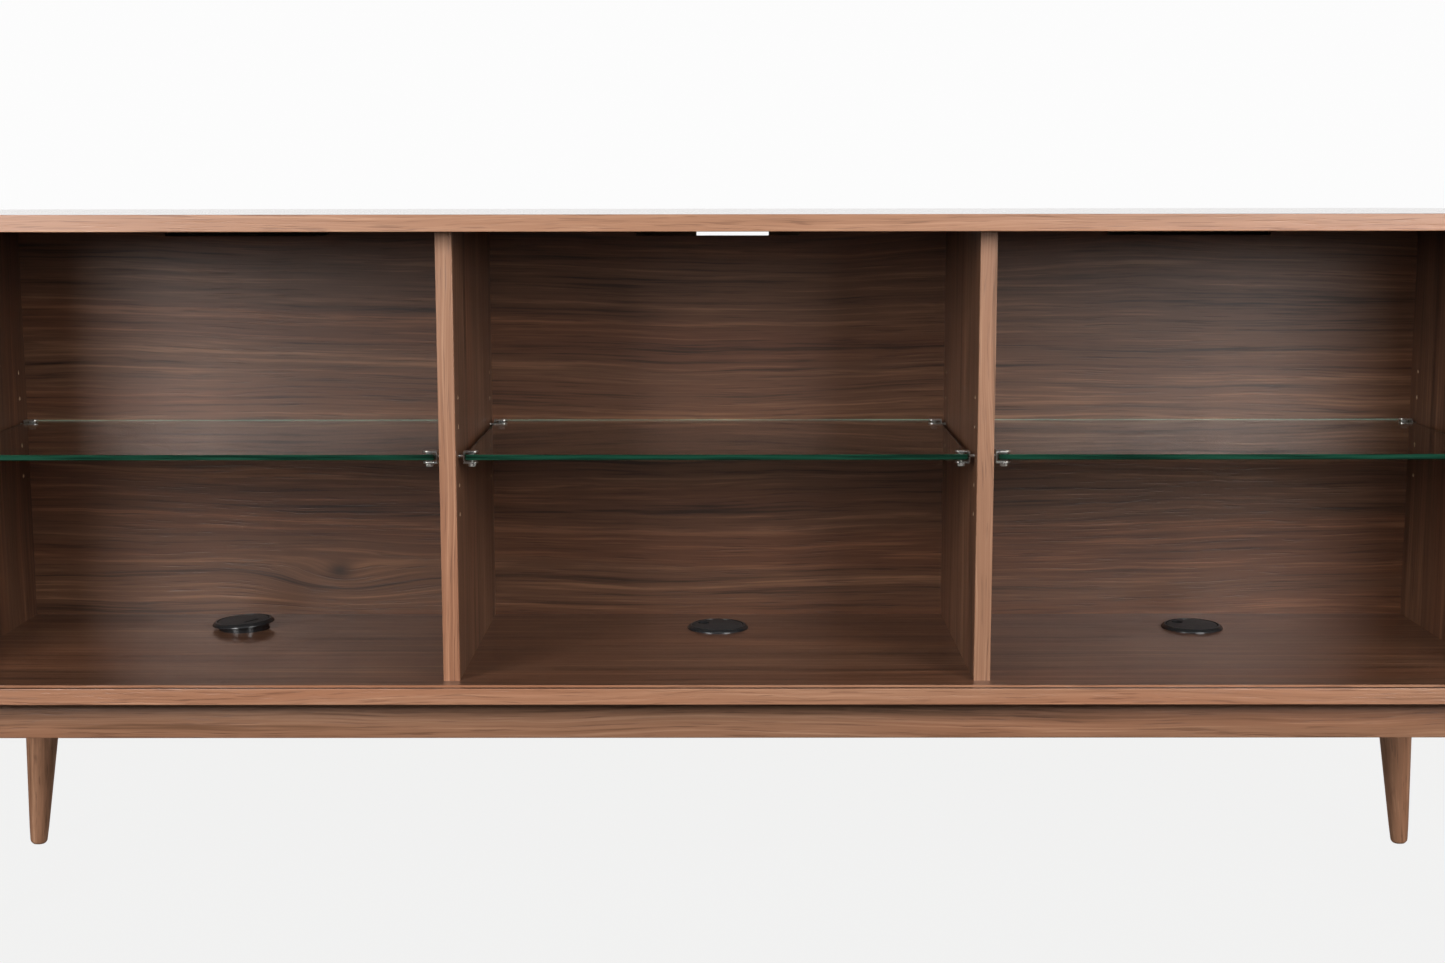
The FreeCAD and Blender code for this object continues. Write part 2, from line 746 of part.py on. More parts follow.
def shelf_nodes():
    nodes = {}
    for name, middle_x in zip(bay_names, bay_middles):
        nodes[name + "_glass_shelf"] = [glass_shelf(middle_x)]
        clamps = []
        pads = []
        for place, face_x, into_bay, y in clamp_places(middle_x):
            clamps.append(shelf_clamp(face_x, into_bay, y))
            pads.extend(clamp_pads(face_x, into_bay, y))
            nodes[name + "_bay_" + place + "_thumb_screw"] = [thumb_screw(face_x, into_bay, y)]
        nodes[name + "_shelf_clamps"] = clamps
        nodes[name + "_clamp_pads"] = pads
    return nodes


def grommet_nodes():
    nodes = {}
    for index, name in enumerate(bay_names):
        placement = grommet_placement(index)
        nodes[name + "_grommet_liner"] = [moved(grommet_liner(), placement)]
        nodes[name + "_grommet_cap"] = [moved(grommet_cap(name), placement)]
    return nodes


def main():
    os.makedirs(parts_folder, exist_ok=True)
    nodes = {}
    for make in (carcass_nodes, door_nodes, shelf_nodes, grommet_nodes):
        nodes.update(make())
    for name, solids in nodes.items():
        for solid in solids:
            if not solid.isValid():
                raise ValueError(name + " holds a shape that is not valid")
        shape = solids[0] if len(solids) == 1 else group(solids)
        shape.exportStep(os.path.join(parts_folder, name + ".step"))
        print(name, len(shape.Solids), round(shape.Volume / 1000, 2))
    print("nodes", len(nodes))


main()
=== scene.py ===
"""A long walnut sideboard with wrap-round tambour doors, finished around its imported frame.

Every length is in metres in the frame's own axes: +X along the sideboard, +Y to its back, +Z up.
Each piece is built where it stands and rides on a body of the frame.
"""

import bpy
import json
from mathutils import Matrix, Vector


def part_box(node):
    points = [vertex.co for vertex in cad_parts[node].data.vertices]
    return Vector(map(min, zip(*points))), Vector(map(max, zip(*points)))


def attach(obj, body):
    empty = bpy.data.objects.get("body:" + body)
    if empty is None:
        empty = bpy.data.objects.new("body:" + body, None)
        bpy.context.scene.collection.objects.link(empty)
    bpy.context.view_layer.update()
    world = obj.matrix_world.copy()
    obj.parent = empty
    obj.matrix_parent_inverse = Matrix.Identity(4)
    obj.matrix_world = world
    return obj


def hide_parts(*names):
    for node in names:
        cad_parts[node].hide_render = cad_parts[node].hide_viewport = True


bl_info = {
    "name": "Tambour Sideboard",
    "version": (1, 0, 0),
    "blender": (4, 5, 0),
    "location": "View3D > Sidebar > Sideboard",
    "description": "Builds the woods, doors, glass and fittings of a long walnut sideboard",
    "category": "Object",
}

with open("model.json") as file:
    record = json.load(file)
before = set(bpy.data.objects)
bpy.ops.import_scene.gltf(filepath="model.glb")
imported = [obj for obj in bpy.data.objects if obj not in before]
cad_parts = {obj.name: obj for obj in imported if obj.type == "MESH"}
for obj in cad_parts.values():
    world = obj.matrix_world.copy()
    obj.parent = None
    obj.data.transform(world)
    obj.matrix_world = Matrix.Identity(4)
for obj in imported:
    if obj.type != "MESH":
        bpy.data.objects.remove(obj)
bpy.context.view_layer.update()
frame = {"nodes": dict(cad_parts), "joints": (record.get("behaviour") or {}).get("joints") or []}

import json
import math
import random
from collections import namedtuple

import bmesh
import bpy
from bpy.props import FloatProperty, FloatVectorProperty, IntProperty, PointerProperty
from mathutils import Matrix, Vector

BAYS = ("left", "centre", "right")
SIDES = ("left", "right")
CARCASS = "carcass"
UP = Vector((0.0, 0.0, 1.0))


# ---- sizes and colours a user may change ----

def colour(name, description, value):
    return FloatVectorProperty(name=name, description=description, subtype="COLOR", size=3,
                               min=0.0, max=1.0, default=value)


def amount(name, description, value, lowest=0.0, **kind):
    return FloatProperty(name=name, description=description, default=value, min=lowest, **kind)


def length(name, description, value):
    return amount(name, description, value, unit="LENGTH", subtype="DISTANCE", precision=4)


class SideboardWoodSettings(bpy.types.PropertyGroup):
    veneer_dark: colour("Veneer dark", "Darkest bands of the walnut veneer", (0.042, 0.017, 0.008))
    veneer_middle: colour("Veneer middle", "Usual tone of the walnut veneer", (0.150, 0.066, 0.034))
    veneer_light: colour("Veneer light", "Palest bands of the walnut veneer", (0.290, 0.140, 0.074))
    solid_dark: colour("Solid dark", "Darkest lines of the solid edges", (0.200, 0.092, 0.046))
    solid_middle: colour("Solid middle", "Usual tone of the solid edges", (0.370, 0.182, 0.102))
    solid_light: colour("Solid light", "Palest lines of the solid edges", (0.530, 0.295, 0.180))
    hardwood: colour("Hardwood", "Hidden blocks and dowels", (0.450, 0.310, 0.180))
    core: colour("Core", "Raw panel core inside the pin holes", (0.560, 0.400, 0.260))
    band_width: length("Band width", "Width of one band of the figure", 0.018)
    satin: amount("Satin", "Roughness of the lacquered wood", 0.42, 0.05, max=1.0, subtype="FACTOR")


class SideboardDoorSettings(bpy.types.PropertyGroup):
    slat_count: IntProperty(name="Slats", description="Slats on each door", default=64, min=1)
    slat_pitch: length("Slat pitch", "Distance from one slat to the next along the track", 0.0189)
    slat_face: length("Slat face", "Width of one slat", 0.0185)
    loose_face: length("Loose slat face", "Width of the few slats that leave a wider gap", 0.0174)
    slat_thickness: length("Slat thickness", "Thickness of one slat", 0.007)
    slat_round: length("Slat rounding", "Radius of a slat's outer corners", 0.0016)
    track_inset: length("Track inset", "Canvas line inside the outline of the panels", 0.0145)
    corner_radius: length("Corner radius", "Corner radius of the top and bottom panels", 0.071)
    canvas: colour("Canvas", "Cloth behind the slats", (0.430, 0.380, 0.300))


class SideboardFittingSettings(bpy.types.PropertyGroup):
    nickel: colour("Nickel", "Plated shelf clamps and thumb screws", (0.660, 0.645, 0.610))
    zinc: colour("Zinc", "Plated wood screws and bolts", (0.560, 0.565, 0.560))
    plastic: colour("Black plastic", "Cable grommets", (0.018, 0.018, 0.019))
    glide: colour("Glide", "Nylon foot glides", (0.050, 0.042, 0.036))
    pad: colour("Pad", "Soft clamp pads", (0.700, 0.720, 0.690))
    glass_tint: colour("Glass tint", "Body of the glass shelves", (0.930, 0.975, 0.955))
    glass_edge: colour("Glass edge", "Polished front and side edges", (0.006, 0.036, 0.021))
    # Painted light: the rear edge gets a brighter colour and a painted glow in place of the light the
    # pane pipes to it.
    glass_rear_painted_glow: colour("Glass rear edge", "Rear edge, lit through the pane", (0.220, 0.360, 0.290))
    knurls: IntProperty(name="Knurls", description="Ridges round a thumb screw", default=28, min=8)


class SideboardStageSettings(bpy.types.PropertyGroup):
    floor_radius: length("Floor radius", "Radius of the pale floor", 12.0)
    floor_tone: colour("Floor", "Colour of the floor", (0.090, 0.090, 0.089))
    floor_glow: amount("Floor light", "Brightness of the lit paper floor", 0.97)
    floor_whiteness: amount("Floor whiteness", "How far shadows are washed out", 0.90, max=1.0,
                            subtype="FACTOR")
    key_power: amount("Side lights", "Power of each large soft box", 39.0, unit="POWER")
    top_power: amount("Overhead light", "Power of the overhead soft box", 14.0, unit="POWER")
    sky_light: amount("Room light", "Strength of the graded room light", 1.0)
    lens: amount("Lens", "Focal length on a 36 mm wide film", 51.674, 1.0, unit="CAMERA")
    camera_height: length("Camera height", "Height of the lens above the floor", 0.8395)
    camera_distance: length("Camera distance", "Distance of the lens in front of the centre", 2.396)


Settings = namedtuple("Settings", ("wood", "doors", "fittings", "stage"))


def settings():
    """The four groups of settings on the scene."""
    scene = bpy.context.scene
    return Settings(scene.sideboard_wood, scene.sideboard_doors, scene.sideboard_fittings,
                    scene.sideboard_stage)


# ---- shader building ----

class NodeBench:
    """Adds nodes to one shader tree. An input is either a plain value or another node's output."""

    def __init__(self, tree):
        self.tree = tree

    def add(self, kind, inputs, **choices):
        node = self.tree.nodes.new("ShaderNode" + kind)
        for name, value in choices.items():
            setattr(node, name, value)
        for key, value in inputs.items():
            socket = node.inputs[key]
            if isinstance(value, bpy.types.NodeSocket):
                self.tree.links.new(value, socket)
            elif socket.type == "RGBA":
                socket.default_value = (*value[:3], 1.0)
            else:
                socket.default_value = value
        return node

    def math(self, operation, first, second=0.0):
        return self.add("Math", {0: first, 1: second}, operation=operation).outputs[0]

    def plus(self, first, second):
        return self.math("ADD", first, second)

    def minus(self, first, second):
        return self.math("SUBTRACT", first, second)

    def times(self, first, second):
        return self.math("MULTIPLY", first, second)

    def over(self, first, second):
        return self.math("DIVIDE", first, second)

    def ramp(self, value, low, high, start=0.0, end=1.0):
        """A smooth rise from start to end while the value goes from low to high."""
        inputs = {"Value": value, "From Min": low, "From Max": high, "To Min": start, "To Max": end}
        return self.add("MapRange", inputs, interpolation_type="SMOOTHSTEP").outputs[0]

    def mix(self, share, first, second, blend="MIX"):
        node = self.add("Mix", {0: share, 6: first, 7: second}, data_type="RGBA", blend_type=blend)
        return node.outputs[2]

    def parts(self, vector):
        return self.add("SeparateXYZ", {0: vector}).outputs

    def vector(self, x, y, z):
        return self.add("CombineXYZ", {0: x, 1: y, 2: z}).outputs[0]

    def stretched(self, vector, scales):
        node = self.add("VectorMath", {0: vector, 1: scales}, operation="MULTIPLY")
        return node.outputs[0]

    def noise(self, vector, detail=2.0, roughness=0.5, scale=1.0):
        inputs = {"Vector": vector, "Scale": scale, "Detail": detail, "Roughness": roughness}
        return self.add("TexNoise", inputs).outputs[0]

    def bell(self, x, y, reach_x, reach_y):
        """One at the centre, falling to nothing over the two reaches."""
        across = self.over(x, reach_x)
        up = self.over(y, reach_y)
        spread = self.plus(self.times(across, across), self.times(up, up))
        return self.math("EXPONENT", self.times(spread, -1.0))

    def group(self, name, inputs):
        return self.add("Group", inputs, node_tree=bpy.data.node_groups[name]).outputs

    def object_place(self):
        return self.add("TexCoord", {}).outputs["Object"]

    def object_normal(self):
        return self.add("TexCoord", {}).outputs["Normal"]


def new_effect(name, inputs, outputs):
    """A shader node group and its bench, entry and exit."""
    tree = bpy.data.node_groups.new(name, "ShaderNodeTree")
    for kind, label, value in inputs:
        socket = tree.interface.new_socket(name=label, in_out="INPUT", socket_type="NodeSocket" + kind)
        if value is not None:
            socket.default_value = value
    for kind, label in outputs:
        tree.interface.new_socket(name=label, in_out="OUTPUT", socket_type="NodeSocket" + kind)
    entry = tree.nodes.new("NodeGroupInput").outputs
    leave = tree.nodes.new("NodeGroupOutput").inputs
    return NodeBench(tree), entry, leave


def walnut_figure():
    """The figure of sliced walnut. X of the vector runs along the grain, Y across it, Z inwards."""
    bench, entry, leave = new_effect(
        "walnut_figure",
        (("Vector", "Vector", None), ("Float", "Seed", 0.0), ("Color", "Dark", None),
         ("Color", "Middle", None), ("Color", "Light", None), ("Float", "Band Width", 0.018),
         ("Float", "Contrast", 3.8), ("Vector", "Knot", None), ("Float", "Knot Size", 0.0)),
        (("Color", "Color"), ("Float", "Height"), ("Float", "Tone")))
    along, across, inside = bench.parts(entry["Vector"])
    knot_along, knot_across, _ = bench.parts(entry["Knot"])
    from_knot_along = bench.minus(along, knot_along)
    from_knot_across = bench.minus(across, knot_across)
    size = bench.math("MAXIMUM", entry["Knot Size"], 0.001)
    pull = bench.bell(from_knot_along, from_knot_across, bench.times(size, 2.6), size)
    pull = bench.times(pull, bench.math("GREATER_THAN", entry["Knot Size"], 0.0))
    closing = bench.times(from_knot_across, -0.85)
    lifting = bench.times(size, 0.45)
    parting = bench.times(pull, bench.plus(closing, lifting))

    run = bench.plus(along, bench.times(entry["Seed"], 3.17))
    deep = bench.plus(inside, bench.times(entry["Seed"], 1.31))
    raw = bench.vector(run, across, deep)
    sway = bench.noise(bench.stretched(raw, (1.3, 4.0, 4.0)))
    ripple = bench.noise(bench.stretched(raw, (8.0, 18.0, 18.0)))
    flow = bench.plus(across, parting)
    flow = bench.plus(flow, bench.times(bench.minus(sway, 0.5), 0.055))
    flow = bench.plus(flow, bench.times(bench.minus(ripple, 0.5), 0.006))

    per_band = bench.over(flow, entry["Band Width"])
    wide = bench.vector(bench.times(run, 1.1), per_band, bench.times(deep, 30.0))
    bands = bench.noise(wide, detail=4.0, roughness=0.6)
    narrow = bench.vector(bench.times(run, 3.0), bench.times(per_band, 3.6),
                          bench.times(deep, 110.0))
    streaks = bench.noise(narrow, detail=4.0, roughness=0.65)
    grain = bench.vector(run, flow, deep)
    fibres = bench.noise(bench.stretched(grain, (11.0, 380.0, 380.0)), detail=4.0)
    dashes = bench.noise(bench.stretched(grain, (16.0, 480.0, 480.0)), detail=2.0)
    pores = bench.ramp(dashes, 0.58, 0.68)

    tone = bench.plus(bench.times(bands, 0.42), bench.times(streaks, 0.36))
    tone = bench.plus(tone, bench.times(fibres, 0.22))
    tone = bench.times(bench.minus(tone, 0.5), entry["Contrast"])
    tone = bench.plus(tone, 0.5)
    shade = bench.mix(bench.ramp(tone, 0.0, 0.5), entry["Dark"], entry["Middle"])
    shade = bench.mix(bench.ramp(tone, 0.5, 1.0), shade, entry["Light"])
    warmth = bench.ramp(bench.noise(bench.stretched(grain, (0.8, 16.0, 8.0))), 0.42, 0.62)
    warm = bench.mix(1.0, shade, (1.0, 0.86, 0.78), "MULTIPLY")
    shade = bench.mix(bench.times(warmth, 0.8), shade, warm)
    pitted = bench.mix(1.0, shade, (0.52, 0.48, 0.46), "MULTIPLY")
    shade = bench.mix(bench.times(pores, 0.60), shade, pitted)
    core = bench.bell(from_knot_along, from_knot_across, bench.times(size, 0.45),
                      bench.times(size, 0.30))
    core = bench.times(core, bench.math("GREATER_THAN", entry["Knot Size"], 0.0))
    burnt = bench.mix(1.0, entry["Dark"], (0.45, 0.42, 0.42), "MULTIPLY")
    shade = bench.mix(bench.times(core, 0.85), shade, burnt)
    height = bench.minus(bench.times(fibres, 0.5), pores)
    for label, value in (("Color", shade), ("Height", height), ("Tone", tone)):
        bench.tree.links.new(value, leave[label])


def fine_speckle():
    """Even fine speckle for moulded and plated surfaces, with slow blotches."""
    bench, entry, leave = new_effect(
        "fine_speckle",
        (("Vector", "Vector", None), ("Float", "Grain", 4000.0), ("Float", "Blotch", 60.0)),
        (("Float", "Speckle"), ("Float", "Blotches")))
    speckle = bench.noise(entry["Vector"], detail=2.0, scale=entry["Grain"])
    blotches = bench.noise(entry["Vector"], detail=3.0, scale=entry["Blotch"])
    bench.tree.links.new(speckle, leave["Speckle"])
    bench.tree.links.new(bench.ramp(blotches, 0.35, 0.65), leave["Blotches"])


EFFECTS = (walnut_figure, fine_speckle)


def new_material(name):
    """An empty material, its bench and its main surface shader."""
    material = bpy.data.materials.new(name)
    material.use_nodes = True
    tree = material.node_tree
    return material, NodeBench(tree), tree.nodes["Principled BSDF"]


def join_surface(bench, surface, varying, height=None, relief=0.0):
    """Links varying values to the shader, and a height through a bump of the given depth."""
    for key, value in varying.items():
        bench.tree.links.new(value, surface.inputs[key])
    if height is not None:
        bump = bench.add("Bump", {"Height": height, "Distance": relief, "Strength": 1.0})
        bench.tree.links.new(bump.outputs[0], surface.inputs["Normal"])


AXES = {"X": 0, "Y": 1, "Z": 2}


def veneer_tones():
    wood = settings().wood
    return wood.veneer_dark, wood.veneer_middle, wood.veneer_light


def solid_tones():
    wood = settings().wood
    return wood.solid_dark, wood.solid_middle, wood.solid_light


def between(first, second, share):
    """Three tones part of the way from one set to another."""
    return tuple(tuple(a + (b - a) * share for a, b in zip(one, two))
                 for one, two in zip(first, second))


def gained(tone, gain):
    """A colour made darker or brighter."""
    return tuple(min(1.0, part * gain) for part in tone)


def shaded(tones, gain):
    return tuple(gained(tone, gain) for tone in tones)


def figure_at(bench, vector, tones, seed, band_width, contrast, knot=None):
    """The walnut figure at a place given along, across and into the wood."""
    inputs = {"Vector": vector, "Seed": seed, "Dark": tones[0], "Middle": tones[1], "Light": tones[2],
              "Band Width": band_width, "Contrast": contrast}
    if knot:
        inputs["Knot"] = (knot[0], knot[1], 0.0)
        inputs["Knot Size"] = knot[2]
    return bench.group("walnut_figure", inputs)


def figure_on(bench, axes, tones, seed, band=1.0, contrast=3.8, knot=None, lean=None):
    """The walnut figure along, across and into the wood in the given axes of the piece."""
    place = bench.object_place()
    if lean is not None:
        turned = bench.add("Mapping", {"Vector": place, "Rotation": tuple(lean)}, vector_type="POINT")
        place = turned.outputs[0]
    place = bench.parts(place)
    vector = bench.vector(*(place[AXES[axis]] for axis in axes))
    return figure_at(bench, vector, tones, seed, settings().wood.band_width * band, contrast, knot)


def lacquer(bench, surface, shade, height, tone, polished=None):
    """The satin lacquer over any of the woods, with a smoother coat where polished is one."""
    wood = settings().wood
    gloss = bench.plus(bench.times(tone, -0.06), wood.satin + 0.03)
    surface.inputs["Specular IOR Level"].default_value = 0.65
    varying = {"Base Color": shade, "Roughness": gloss}
    if polished is not None:
        varying["Coat Weight"] = polished
        surface.inputs["Coat Roughness"].default_value = 0.10
    join_surface(bench, surface, varying, height, 0.00012)


def wood_material(name, axes, tones, seed, band=1.0, contrast=3.8, knot=None, lean=None):
    material, bench, surface = new_material(name)
    shade, height, tone = figure_on(bench, axes, tones, seed, band, contrast, knot, lean)
    lacquer(bench, surface, shade, height, tone)
    return material


def upright_material(name, tones, seed):
    """An upright panel: walnut on its two faces, the pale raw core in its pin holes and cut edges."""
    material, bench, surface = new_material(name)
    face = figure_on(bench, "ZYX", tones, seed, 1.2)
    sideways = bench.math("ABSOLUTE", bench.parts(bench.object_normal())[0])
    veneered = bench.ramp(sideways, 0.35, 0.65)
    shade = bench.mix(veneered, settings().wood.core, face["Color"])
    lacquer(bench, surface, shade, face["Height"], face["Tone"])
    return material


def panel_material(name, seed, face_tones, edge_tones):
    """A veneered panel lying flat, with a solid lipping round its edges."""
    material, bench, surface = new_material(name)
    face = figure_on(bench, "XYZ", face_tones, seed)
    place = bench.parts(bench.object_place())
    crossing = bench.times(bench.minus(place[0], place[1]), 0.02)
    round_edge = bench.vector(bench.plus(place[0], place[1]), place[2], crossing)
    edge = figure_at(bench, round_edge, edge_tones, seed + 0.4, 0.008, 2.6)
    upright = bench.math("ABSOLUTE", bench.parts(bench.object_normal())[2])
    flat = bench.ramp(upright, 0.55, 0.85)
    shade = bench.mix(flat, edge["Color"], face["Color"])
    lacquer(bench, surface, shade, face["Height"], face["Tone"], flat)
    return material


def sorted_piece_material(name, axes, tones, band=1.0, contrast=2.4):
    """Wood for many like pieces, each cut from another place and a little lighter or darker."""
    material, bench, surface = new_material(name)
    own = bench.add("Attribute", {}, attribute_name="piece_tone").outputs["Fac"]
    figure = figure_on(bench, axes, tones, bench.times(own, 40.0), band, contrast)
    level = bench.plus(bench.times(own, 0.34), 0.83)
    shade = bench.mix(1.0, figure["Color"], bench.vector(level, level, level), "MULTIPLY")
    lacquer(bench, surface, shade, figure["Height"], figure["Tone"])
    return material


def plated_material(name, tone, roughness):
    """Satin plating with faint handling marks."""
    material, bench, surface = new_material(name)
    speckle, blotches = bench.group("fine_speckle", {"Vector": bench.object_place(), "Grain": 6000.0,
                                                     "Blotch": 260.0})
    shade = bench.mix(bench.times(blotches, 0.5), tone, gained(tone, 0.82))
    rough = bench.plus(bench.times(blotches, 0.10), roughness)
    surface.inputs["Metallic"].default_value = 1.0
    join_surface(bench, surface, {"Base Color": shade, "Roughness": rough}, speckle, 0.00002)
    return material


def moulded_material(name, tone, face_roughness, side_roughness):
    """Moulded plastic, finely textured on its flat top and smoother on its slopes."""
    material, bench, surface = new_material(name)
    speckle, blotches = bench.group("fine_speckle", {"Vector": bench.object_place(), "Grain": 2600.0,
                                                     "Blotch": 90.0})
    facing = bench.ramp(bench.parts(bench.object_normal())[2], 0.90, 0.99)
    lighter = tuple(min(1.0, part * 1.7 + 0.004) for part in tone)
    shade = bench.mix(bench.times(speckle, facing), tone, lighter)
    rough = bench.ramp(facing, 0.0, 1.0, side_roughness, face_roughness)
    rough = bench.plus(rough, bench.times(blotches, 0.05))
    height = bench.times(speckle, facing)
    join_surface(bench, surface, {"Base Color": shade, "Roughness": rough}, height, 0.00008)
    return material


def canvas_material():
    """Plain woven cotton duck, glued to the slats."""
    doors = settings().doors
    material, bench, surface = new_material("door_canvas")
    place = bench.parts(bench.object_place())
    sideways = bench.plus(place[0], place[1])
    threads = []
    for run in (sideways, place[2]):
        wave = bench.math("SINE", bench.times(run, 4200.0))
        threads.append(bench.times(bench.plus(wave, 1.0), 0.5))
    weave = bench.math("MAXIMUM", threads[0], threads[1])
    slubs = bench.noise(bench.object_place(), detail=3.0, scale=180.0)
    shade = bench.mix(bench.times(weave, slubs), gained(doors.canvas, 0.62), doors.canvas)
    rough = bench.ramp(slubs, 0.3, 0.7, 0.85, 0.95)
    join_surface(bench, surface, {"Base Color": shade, "Roughness": rough}, weave, 0.00015)
    return material


def glass_body_material():
    """Clear float glass with the faintest dust."""
    fittings = settings().fittings
    material, bench, surface = new_material("shelf_glass")
    dust = bench.ramp(bench.noise(bench.object_place(), detail=4.0, scale=9.0), 0.45, 0.75)
    shade = bench.mix(dust, fittings.glass_tint, gained(fittings.glass_tint, 0.97))
    rough = bench.times(dust, 0.012)
    surface.inputs["Transmission Weight"].default_value = 1.0
    surface.inputs["IOR"].default_value = 1.52
    join_surface(bench, surface, {"Base Color": shade, "Roughness": rough})
    return material


def glass_edge_material(name, deep, painted_glow=0.0):
    """A polished edge, seen end on and green; painted_glow is the strength of a painted glow that
    stands in for the light the pane pipes to it.
    """
    material, bench, surface = new_material(name)
    place = bench.parts(bench.object_place())
    run = bench.vector(bench.plus(place[0], place[1]), place[2], 0.0)
    lines = bench.noise(bench.stretched(run, (9.0, 300.0, 1.0)), detail=3.0)
    depth_tone = bench.ramp(lines, 0.35, 0.65)
    shade = bench.mix(depth_tone, gained(deep, 0.55), gained(deep, 1.5))
    rough = bench.ramp(depth_tone, 0.0, 1.0, 0.08, 0.16)
    # Painted glow: the edge emits its own colour, though it is no lamp.
    surface.inputs["Emission Strength"].default_value = painted_glow
    join_surface(bench, surface, {"Base Color": shade, "Roughness": rough, "Emission Color": shade})
    return material


def pad_material():
    fittings = settings().fittings
    material, bench, surface = new_material("clear_pad")
    speckle, blotches = bench.group("fine_speckle", {"Vector": bench.object_place(), "Grain": 3000.0,
                                                     "Blotch": 120.0})
    shade = bench.mix(blotches, gained(fittings.pad, 0.85), fittings.pad)
    rough = bench.ramp(speckle, 0.3, 0.7, 0.30, 0.42)
    surface.inputs["Transmission Weight"].default_value = 0.6
    join_surface(bench, surface, {"Base Color": shade, "Roughness": rough})
    return material


# ---- shape building ----

def loft(shape, rings, closed=False):
    """Skins successive rings of points. The last joins the first if closed, else both are capped."""
    corners = [[shape.verts.new(point) for point in ring] for ring in rings]
    faces = []
    pairs = list(zip(corners, corners[1:]))
    if closed:
        pairs.append((corners[-1], corners[0]))
    for low, high in pairs:
        for index in range(len(low)):
            after = (index + 1) % len(low)
            faces.append(shape.faces.new((low[index], low[after], high[after], high[index])))
    if not closed:
        faces.append(shape.faces.new(list(reversed(corners[0]))))
        faces.append(shape.faces.new(corners[-1]))
    return faces


def lathe(shape, profile, segments, closed=False, ridge=None):
    """Turns a profile of (radius, height) about Z. A ridge function may change the radius."""
    rings = []
    for radius, height in profile:
        ring = []
        for step in range(segments):
            angle = 2.0 * math.pi * step / segments
            reach = ridge(angle, radius, height) if ridge else radius
            ring.append((reach * math.cos(angle), reach * math.sin(angle), height))
        rings.append(ring)
    return loft(shape, rings, closed)


def quarter(centre, radius, start, steps=4):
    """Points of a quarter circle in a profile, from the start angle in degrees."""
    points = []
    for step in range(steps + 1):
        angle = math.radians(start + 90.0 * step / steps)
        points.append((centre[0] + radius * math.cos(angle), centre[1] + radius * math.sin(angle)))
    return points


def box_shape(shape, low, high):
    corners = ((low[0], low[1]), (high[0], low[1]), (high[0], high[1]), (low[0], high[1]))
    loft(shape, [[(x, y, z) for x, y in corners] for z in (low[2], high[2])])


def as_object(name, shape):
    bmesh.ops.recalc_face_normals(shape, faces=shape.faces)
    mesh = bpy.data.meshes.new(name)
    shape.to_mesh(mesh)
    shape.free()
    made = bpy.data.objects.new(name, mesh)
    bpy.context.scene.collection.objects.link(made)
    return made


def carved(shape, cutter):
    """The shape with the cutter's space removed, as a new shape. Both are closed."""
    body = as_object("uncut_body", shape)
    tool = as_object("cutting_tool", cutter)
    cut = body.modifiers.new("cut", "BOOLEAN")
    cut.object = tool
    cut.operation = "DIFFERENCE"
    cut.solver = "EXACT"
    scene_state = bpy.context.evaluated_depsgraph_get()
    mesh = bpy.data.meshes.new_from_object(body.evaluated_get(scene_state))
    result = bmesh.new()
    result.from_mesh(mesh)
    for temporary in (body, tool):
        data = temporary.data
        bpy.data.objects.remove(temporary)
        bpy.data.meshes.remove(data)
    bpy.data.meshes.remove(mesh)
    return result


def add_copies(shape, template, places):
    """Adds a copy of the template shape at each placement matrix."""
    mesh = bpy.data.meshes.new("template")
    template.to_mesh(mesh)
    template.free()
    for place in places:
        before = len(shape.verts)
        shape.from_mesh(mesh)
        shape.verts.ensure_lookup_table()
        bmesh.ops.transform(shape, matrix=place, verts=shape.verts[before:])
    bpy.data.meshes.remove(mesh)


def set_piece(name, shape, materials, body, nodes, place=None, smooth_below=35.0):
    """Makes the finished piece, puts it on its body and hides the CAD nodes it takes the place of."""
    piece = as_object(name, shape)
    for material in materials:
        piece.data.materials.append(material)
    for face in piece.data.polygons:
        face.use_smooth = True
    piece.data.set_sharp_from_angle(angle=math.radians(smooth_below))
    if place is not None:
        piece.matrix_world = place
    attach(piece, body)
    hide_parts(*nodes)
    return piece


def softened(name, node, width, material, body):
    """A CAD node's own shape with its sharp edges broken by a small round."""
    shape = bmesh.new()
    shape.from_mesh(frame["nodes"][node].data)
    bmesh.ops.remove_doubles(shape, verts=shape.verts, dist=1e-6)
    bmesh.ops.dissolve_limit(shape, angle_limit=math.radians(0.5), verts=shape.verts,
                             edges=shape.edges)
    sharp = [edge for edge in shape.edges
             if len(edge.link_faces) == 2 and edge.calc_face_angle(0.0) > math.radians(40.0)]
    bmesh.ops.bevel(shape, geom=sharp, offset=width, offset_type="OFFSET", segments=2, profile=0.5,
                    affect="EDGES", clamp_overlap=True)
    piece = set_piece(name, shape, [material], body, [node])
    for label in ("custom_normal", "sharp_face"):
        extra = piece.data.attributes.get(label)
        if extra:
            piece.data.attributes.remove(extra)
    return piece


def dress(node, material):
    """Gives a CAD node that stays in view its finished material."""
    slots = frame["nodes"][node].material_slots
    if not slots:
        frame["nodes"][node].data.materials.append(material)
    for slot in slots:
        slot.material = material


# How far each kind of piece has its sharp edges broken.
BOARD_EDGE = 0.0007
BLOCK_EDGE = 0.0006
STILE_EDGE = 0.0008
CLAMP_EDGE = 0.00025
PAD_EDGE = 0.0002


# ---- boards ----

